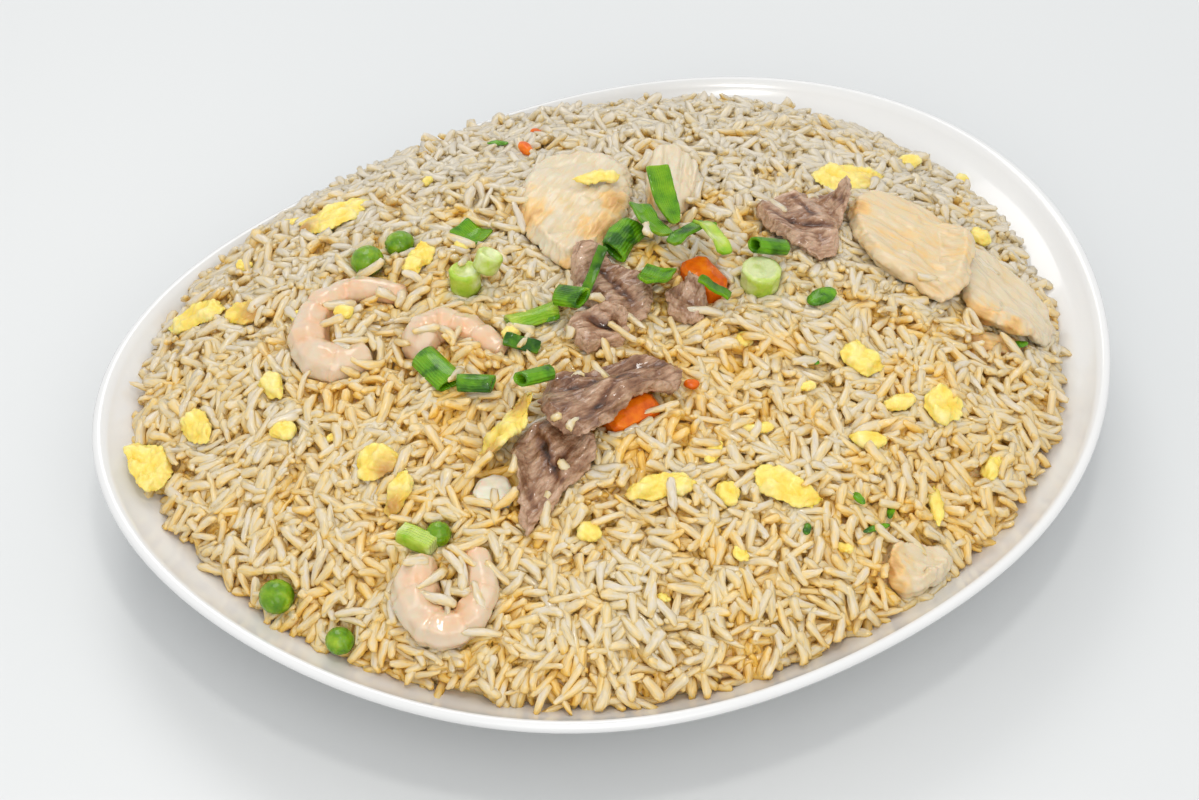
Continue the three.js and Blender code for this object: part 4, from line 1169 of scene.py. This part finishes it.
# %% grain patterns
GRAIN_SIDES = 7
GRAIN_RINGS = 6
GRAIN_KINDS = {
    "slender": dict(length=9.4, width=2.2, bend=0.3, taper=0.14),
    "curved": dict(length=9.0, width=2.3, bend=1.0, taper=0.12),
    "plump": dict(length=8.2, width=2.7, bend=0.35, taper=0.15),
    "bent": dict(length=8.8, width=2.35, bend=-0.8, taper=-0.12),
    "short": dict(length=7.4, width=2.5, bend=0.3, taper=0.1),
    "broken": dict(length=5.4, width=2.4, bend=0.1, taper=0.3),
}
LUMPY, LUMP_SPACING = 0.2, 2.2
FLAT = 0.8
BLUNT, END_ROUND, POINTED = 0.85, 6, 0.999
BEND_MIDDLE = 0.4
LIFT, TWIST = 0.3, 2.4


def grain_pattern(length, width, bend, taper):
    bpy.ops.object.select_all(action="DESELECT")
    bpy.ops.mesh.primitive_uv_sphere_add(
        segments=GRAIN_SIDES, ring_count=GRAIN_RINGS, radius=1, rotation=(0, math.pi / 2, 0))
    bpy.ops.object.transform_apply(rotation=True)
    pattern = bpy.context.object
    ball = points_of(pattern) * MM
    t = np.clip(ball[:, 0], -1, 1)
    girth = np.maximum(np.sqrt(1 - t * t), 1e-3)
    t = np.sign(t) * np.abs(t) ** BLUNT
    thick = (1 - t**END_ROUND) ** 0.5 * (1 + taper * t) / girth
    thick = np.where(np.abs(t) > POINTED, 0, thick)
    shaped = np.column_stack([
        t * length / 2,
        ball[:, 1] * thick * width / 2 - bend * (t * t - BEND_MIDDLE),
        ball[:, 2] * thick * width / 2 * FLAT + LIFT * bend * np.sin(TWIST * t),
    ])
    dents = [rough(shaped, LUMP_SPACING, length + k) for k in (1, 5, 9)]
    shaped += LUMPY * np.column_stack(dents)
    faces = [tuple(face.vertices) for face in pattern.data.polygons]
    bpy.data.objects.remove(pattern)
    return shaped, faces


patterns = {kind: grain_pattern(**shape) for kind, shape in GRAIN_KINDS.items()}
print("faces in a grain:", len(patterns["slender"][1]))

# %% drop one grain on the pile
BINS = 9
NESTLE = 1.5
LID_GIVE = 0.6
MAX_TILT = 1.0
EDGE_COVER = 0.5
STACKED = 0.5
PEA_REACH = 4.2

pile = core_map.copy()
over = np.maximum(np.where(covered, cover, NOTHING), pile)
slippery = np.zeros(GX.shape, bool)
for piece in toppings:
    if piece.name.startswith("garden_pea"):
        middle_x, middle_y = points_of(piece)[:, :2].mean(axis=0)
        slippery |= np.hypot(GX - middle_x, GY - middle_y) < PEA_REACH


def cell(x, y):
    return int(round((x - XS[0]) / CELL)), int(round((y - YS[0]) / CELL))


def footprint(x, y, yaw, half_length, half_width):
    """The cells under a grain, how far along it each lies, and its thickness there."""
    reach = int(half_length / CELL) + 2
    ci, cj = cell(x, y)
    if not (reach <= ci < len(XS) - reach and reach <= cj < len(YS) - reach):
        return None
    window = slice(ci - reach, ci + reach + 1), slice(cj - reach, cj + reach + 1)
    dx, dy = GX[window] - x, GY[window] - y
    c, s = math.cos(yaw), math.sin(yaw)
    u, v = dx * c + dy * s, dy * c - dx * s
    body = 1 - (u / half_length) ** 4 - (v / half_width) ** 2
    inside = body > 0
    return window, inside, u[inside], FLAT * half_width * np.sqrt(body[inside])


def rest_on(u, need, extra_tilt):
    """Height and slope of a stick that rests on these needed heights."""
    end = np.abs(u).max() + 1e-6
    bins = np.clip(((u / end + 1) / 2 * BINS).astype(int), 0, BINS - 1)
    high = np.full(BINS, NOTHING)
    np.maximum.at(high, bins, need)
    at = ((np.arange(BINS) + 0.5) / BINS * 2 - 1) * end
    middle = BINS // 2
    best, slope = high[middle], 0.0
    for i in range(middle + 1):
        for j in range(middle, BINS):
            if i == j or min(high[i], high[j]) < NOTHING / 2:
                continue
            tilt = (high[j] - high[i]) / (at[j] - at[i])
            level = high[i] - tilt * at[i]
            if level >= best:
                best, slope = level, tilt
    slope = max(-MAX_TILT, min(MAX_TILT, slope)) + extra_tilt
    return float((need - slope * u).max()), slope


def drop(x, y, yaw, half_length, half_width, extra_tilt, may_lean):
    """Where a grain comes to rest, and whether it lies clear of every topping."""
    found = footprint(x, y, yaw, half_length, half_width)
    if found is None:
        return None
    window, inside, u, half = found
    level, slope = rest_on(u, pile[window][inside] + half - NESTLE, extra_tilt)
    under = True
    if np.any(level + slope * u + half > lid[window][inside] + LID_GIVE):
        high = over[window][inside]
        on_top = covered[window][inside]
        taken = np.any(high[on_top] > cover[window][inside][on_top] + STACKED)
        slips = np.any(slippery[window][inside])
        if not may_lean or on_top.mean() > EDGE_COVER or taken or slips:
            return None
        level, slope = rest_on(u, high + half - NESTLE, 0.0)
        under = False
    return window, inside, u, half, level, slope, under


def lay(window, inside, u, half, level, slope, under):
    """Adds a grain that has come to rest to the maps."""
    top = level + slope * u + half
    free = ~covered[window][inside]
    for heights, everywhere in ((pile, under), (over, not under)):
        here = heights[window][inside]
        raised = np.maximum(here, top)
        heights[window][inside] = raised if everywhere else np.where(free, raised, here)


# %% draw places, directions and rolls
FIELD_X, FIELD_Y = 134, 127
JITTER = 1.7
CLUMP_SIZE = 16
CLUMPED = 0.4
SHEAF_TURN, SHEAF_SPREAD = 2.5 * math.pi, 0.3
ROLL_SPREAD = 0.35

draw = random.Random(11)
grains = {kind: [] for kind in patterns}
kinds = list(patterns)


def scattered(spacing):
    """Places all over the plate, one in every square of a grid."""
    for x in np.arange(-FIELD_X, FIELD_X, spacing):
        for y in np.arange(-FIELD_Y, FIELD_Y, spacing):
            yield x + draw.uniform(-JITTER, JITTER), y + draw.uniform(-JITTER, JITTER)


def draw_yaw(x, y):
    """Some of the grains still stick to their neighbours, side by side in small sheaves."""
    if draw.random() > CLUMPED:
        return draw.uniform(0, math.pi)
    sheaf = noise.noise((x / CLUMP_SIZE, y / CLUMP_SIZE, 7.0))
    return (SHEAF_TURN * sheaf + draw.gauss(0, SHEAF_SPREAD)) % math.pi


def half_size(kind, stretch=1.0):
    return GRAIN_KINDS[kind]["length"] * stretch / 2, GRAIN_KINDS[kind]["width"] / 2


def keep(kind, x, y, level, yaw, slope, stretch):
    """Notes where a grain lies. It lies on a flat side, either way up."""
    roll = draw.choice((0, math.pi)) + draw.gauss(0, ROLL_SPREAD)
    grains[kind].append((x, y, level, yaw, slope, stretch, roll))


# %% [markdown]
# First a bed of grains is strewn flat on the core, wherever a topping leaves room. Then
# the heap is filled in many passes: where the pile is still too low, a random grain is
# dropped, in the best of a few directions, and it stays unless it stands too proud. Some
# grains are pushed in at a slant. Only those of the last passes may lean on a topping.

# %% a bed of grains
BED_SPACING = 2.5
BED_EDGE = 0.99
BED_TILT, BED_UNEVEN = 1.2, 0.3
BED_DEPTH = 1.1
BED_GAP = 1.0

bed_slopes = np.gradient(core_map, CELL)
for x, y in scattered(BED_SPACING):
    if heap_out(x, y) > BED_EDGE:
        continue
    i, j = cell(x, y)
    kind, yaw = draw.choice(kinds), draw_yaw(x, y)
    slope = bed_slopes[0][i, j] * math.cos(yaw) + bed_slopes[1][i, j] * math.sin(yaw)
    slope = max(-BED_TILT, min(BED_TILT, slope)) + draw.gauss(0, BED_UNEVEN)
    level = core_map[i, j] + draw.uniform(0.0, BED_DEPTH)
    level = max(level, plate_map[i, j] + BED_GAP)
    found = footprint(x, y, yaw, *half_size(kind))
    window, inside, u, half = found
    if np.any(level + slope * u + half > lid[window][inside]):
        continue
    lay(*found, level, slope, True)
    keep(kind, x, y, level, yaw, slope, 1.0)
print("bed:", sum(map(len, grains.values())), "grains")

# %% fill the heap
PASSES, LEANING_PASSES, LEANING = 26, 5, 0.5
SPACING = 3.1
SHORTFALL = 0.3
PROUD, LEAN_PROUD = 1.1, 5.0
SHORTEST, STRETCHY = 0.75, 0.12
POKING, POKE, UNEVEN = 0.4, 0.9, 0.12
SUNK = 0.6
YAW_TRIES = (1, 3, 4)
RAGGED, RAGGED_EDGE = 0.05, 9


def try_grain(x, y, may_lean):
    """Drops one random grain at a place; True where it comes to lean on a topping."""
    i, j = cell(x, y)
    kind = draw.choice(kinds)
    stretch = max(SHORTEST, draw.gauss(1, STRETCHY))
    half_length, half_width = half_size(kind, stretch)
    poke = draw.uniform(-POKE, POKE) if draw.random() < POKING else draw.gauss(0, UNEVEN)
    best = None
    for _ in range(draw.choice(YAW_TRIES)):
        yaw = draw_yaw(x, y)
        found = drop(x, y, yaw, half_length, half_width, poke, may_lean)
        if found and (best is None or found[4] < best[0][4]):
            best = found, yaw
    if best is None:
        return False
    found, yaw = best
    level, slope, under = found[4:]
    if under:
        level -= SUNK * abs(poke) * half_length
    if level > heap_map[i, j] + (PROUD * steep[i, j] if under else LEAN_PROUD):
        return False
    lay(*found[:4], level, slope, under)
    keep(kind, x, y, level, yaw, slope, stretch)
    return not under


leaning = 0
for turn in range(PASSES):
    places = list(scattered(SPACING))
    draw.shuffle(places)
    for x, y in places:
        wave = RAGGED * noise.noise((x / RAGGED_EDGE, y / RAGGED_EDGE, 4.0))
        if heap_out(x, y) > 1.0 + wave:
            continue
        i, j = cell(x, y)
        if heap_map[i, j] - pile[i, j] < SHORTFALL:
            continue
        late = turn >= PASSES - LEANING_PASSES
        leaning += try_grain(x, y, late and draw.random() < LEANING)
print("grains:", sum(map(len, grains.values())), "of which", leaning, "lean on a topping")

# %% [markdown]
# A few grains and crumbs of grains were stirred up onto the toppings. They are listed one
# by one: where each one is, which way it points, and how long it is next to a whole one.

# %% stray grains
STRAYS = [
    (-2.5, -38.5, -60, 1.0), (3.5, -25.5, -24, 1.1), (-3, -16.5, 0, 0.6), (9.6, 8.5, -85, 0.8),
    (-13, -57.5, 20, 0.4), (-9, -59.5, 60, 0.55), (-8, -41, 0, 0.4), (-10, -25.5, 70, 0.5),
    (-40.5, -96.2, -18, 1.1), (-42, -91.6, 44, 1.1), (-34.8, -91, -85, 1.1),
    (-30, -104.4, 3, 1.1), (-37, -88, -50, 1.0), (-46, -88, 15, 0.9), (-31, -97, -70, 0.9),
    (-15, -72, 60, 0.4), (-11, -66, -20, 0.45), (54, 33, 30, 0.5), (44, 28, -60, 0.9),
    (-62, -14, 50, 0.9), (-46, -20, 10, 0.8), (-26, 36, -30, 0.9), (-20, 4, 80, 0.9),
    (82, 6, 10, 0.8), (100, 22, -30, 0.9), (-67, -22, -40, 0.8),
    (-32.5, -66, 60, 0.8), (-31.5, -72.5, -20, 0.9), (-25, -74, 20, 0.9), (-23, -67, 80, 0.7),
]
STRAY_KINDS = ["slender", "curved", "bent", "short"]
for x, y, degrees, stretch in STRAYS:
    yaw, kind = math.radians(degrees), draw.choice(STRAY_KINDS)
    found = footprint(x, y, yaw, *half_size(kind, stretch))
    window, inside, u, half = found
    level, slope = rest_on(u, over[window][inside] + half - NESTLE, 0.0)
    lay(*found, level, slope, False)
    keep(kind, x, y, level, yaw, slope, stretch)
print("stray grains:", len(STRAYS))

# %% [markdown]
# Soy sauce and oil coat the grains unevenly. Each grain gets a colour of its own: mostly
# ivory, some tan, with slow patches over the heap, paler towards the back of the plate.
# On top of that, shade is painted in: every point is darker the deeper it lies below the
# crests round it, because light turns golden between the grains, and the sides and
# undersides of each grain are painted a deeper gold as shade.

# %% grains to meshes
CREST_CELLS = 5
PATCH_TONE, PATCH_SIZE = 0.11, 28.0
BACK_PALER, HALF_PLATE = 0.22, 60
TIP_TONE, FLANK_SHADE_TONE, GAP_SHADE_TONE = 0.15, 0.4, 0.6
OWN_TONE, TONE_SPREAD = 0.08, 0.07
BURIED_FROM, BURIED_OVER = 1.0, 5
GIRTH_SPREAD, TAPER_SPREAD = 0.1, 0.15
SIDE_BEND, UP_BEND = 0.35, 0.2
DENT = 0.14
OWN_STRETCH, OWN_FIELD = (0.3, 1, 1), 500
LIGHT_THROUGH = 0.3
variety = np.random.default_rng(5)

rice_finish = Finish("fried_rice", 0.34, coat=(0.7, 0.1))
own = rice_finish.painted("own", "Vector")
streaks = rice_finish.noise(1.2, 2, place=own)
specks = rice_finish.noise(0.5, 1, place=own)
stain_and_shade = rice_finish.sum(
    (rice_finish.painted("tone_and_shade"), 1.0), (streaks, 1.2), (specks, 0.6), (1.0, -0.9))
starch_and_shade = rice_finish.ramp(
    stain_and_shade, (0.0, (0.84, 0.775, 0.65)), (0.3, (0.87, 0.75, 0.48)),
    (0.6, (0.97, 0.75, 0.32)), (1.0, (1.0, 0.65, 0.11)))
rice_finish.colour(starch_and_shade)
rice_finish.let_light_through(LIGHT_THROUGH, starch_and_shade)
rice_finish.bump(rice_finish.sum((streaks, 1.0), (specks, 0.6)), 0.45)

crest = pile - heap_map
for offset, distance in around(CREST_CELLS):
    crest = np.maximum(crest, np.roll(pile - heap_map, offset, axis=(0, 1)))


def depth_below_crest(points):
    here = cells(points[:, 0], points[:, 1])
    return (heap_map[here] + crest[here] - points[:, 2]) / steep[here]


def grain_axes(yaw, slope, roll):
    forward = Vector((math.cos(yaw), math.sin(yaw), slope)).normalized()
    side = Vector((-math.sin(yaw), math.cos(yaw), 0))
    up = forward.cross(side)
    basis = Matrix((forward, side, up)).transposed()
    return np.array(basis @ Matrix.Rotation(roll, 3, "X"))


def build_grains(kind, places):
    shape, faces = patterns[kind]
    points, corners, tones, own_places = [], [], [], []
    along = shape[:, 0] / shape[:, 0].max()
    arch = along**2 - BEND_MIDDLE
    tips = TIP_TONE * np.abs(along) ** 4
    for k, (x, y, z, yaw, slope, stretch, roll) in enumerate(places):
        girth = variety.normal(1, GIRTH_SPREAD) + variety.normal(0, TAPER_SPREAD) * along
        grain = shape * np.column_stack([np.full(len(along), stretch), girth, girth])
        grain[:, 1] += variety.normal(0, SIDE_BEND) * arch
        grain[:, 2] += variety.normal(0, UP_BEND) * arch
        grain += variety.normal(0, DENT, grain.shape)
        points.append(grain @ grain_axes(yaw, slope, roll).T + (x, y, z))
        own_places.append(grain * OWN_STRETCH + variety.uniform(0, OWN_FIELD, 3))
        corners += [tuple(c + k * len(shape) for c in face) for face in faces]
        patch = PATCH_TONE * noise.noise((x / PATCH_SIZE, y / PATCH_SIZE, 3.0))
        patch -= BACK_PALER * max(-0.5, min(1, y / HALF_PLATE))
        tones.append(tips + OWN_TONE + TONE_SPREAD * draw.gauss(0, 1) + patch)
    points = np.concatenate(points)
    mesh = bpy.data.meshes.new("rice_" + kind)
    mesh.from_pydata((points * MM).tolist(), [], corners)
    piece = bpy.data.objects.new("rice_" + kind, mesh)
    bpy.context.scene.collection.objects.link(piece)
    # Painted shade: deeper gold where a point lies far below the crests, and on the sides and
    # undersides of each grain.
    buried = np.clip((depth_below_crest(points) - BURIED_FROM) / BURIED_OVER, 0, 1)
    flank = 1 - np.clip(normals_of(piece)[:, 2], 0, 1)
    tone_and_shade = np.concatenate(tones) + GAP_SHADE_TONE * buried + FLANK_SHADE_TONE * flank
    write_attribute(piece, "tone_and_shade", np.clip(tone_and_shade, 0, 1))
    write_attribute(piece, "own", np.concatenate(own_places) * MM)
    return serve(piece, rice_finish, "rice", "rice")


for kind, places in grains.items():
    piece = build_grains(kind, places)
    print(piece.name, len(places), "grains,", len(piece.data.polygons), "faces")
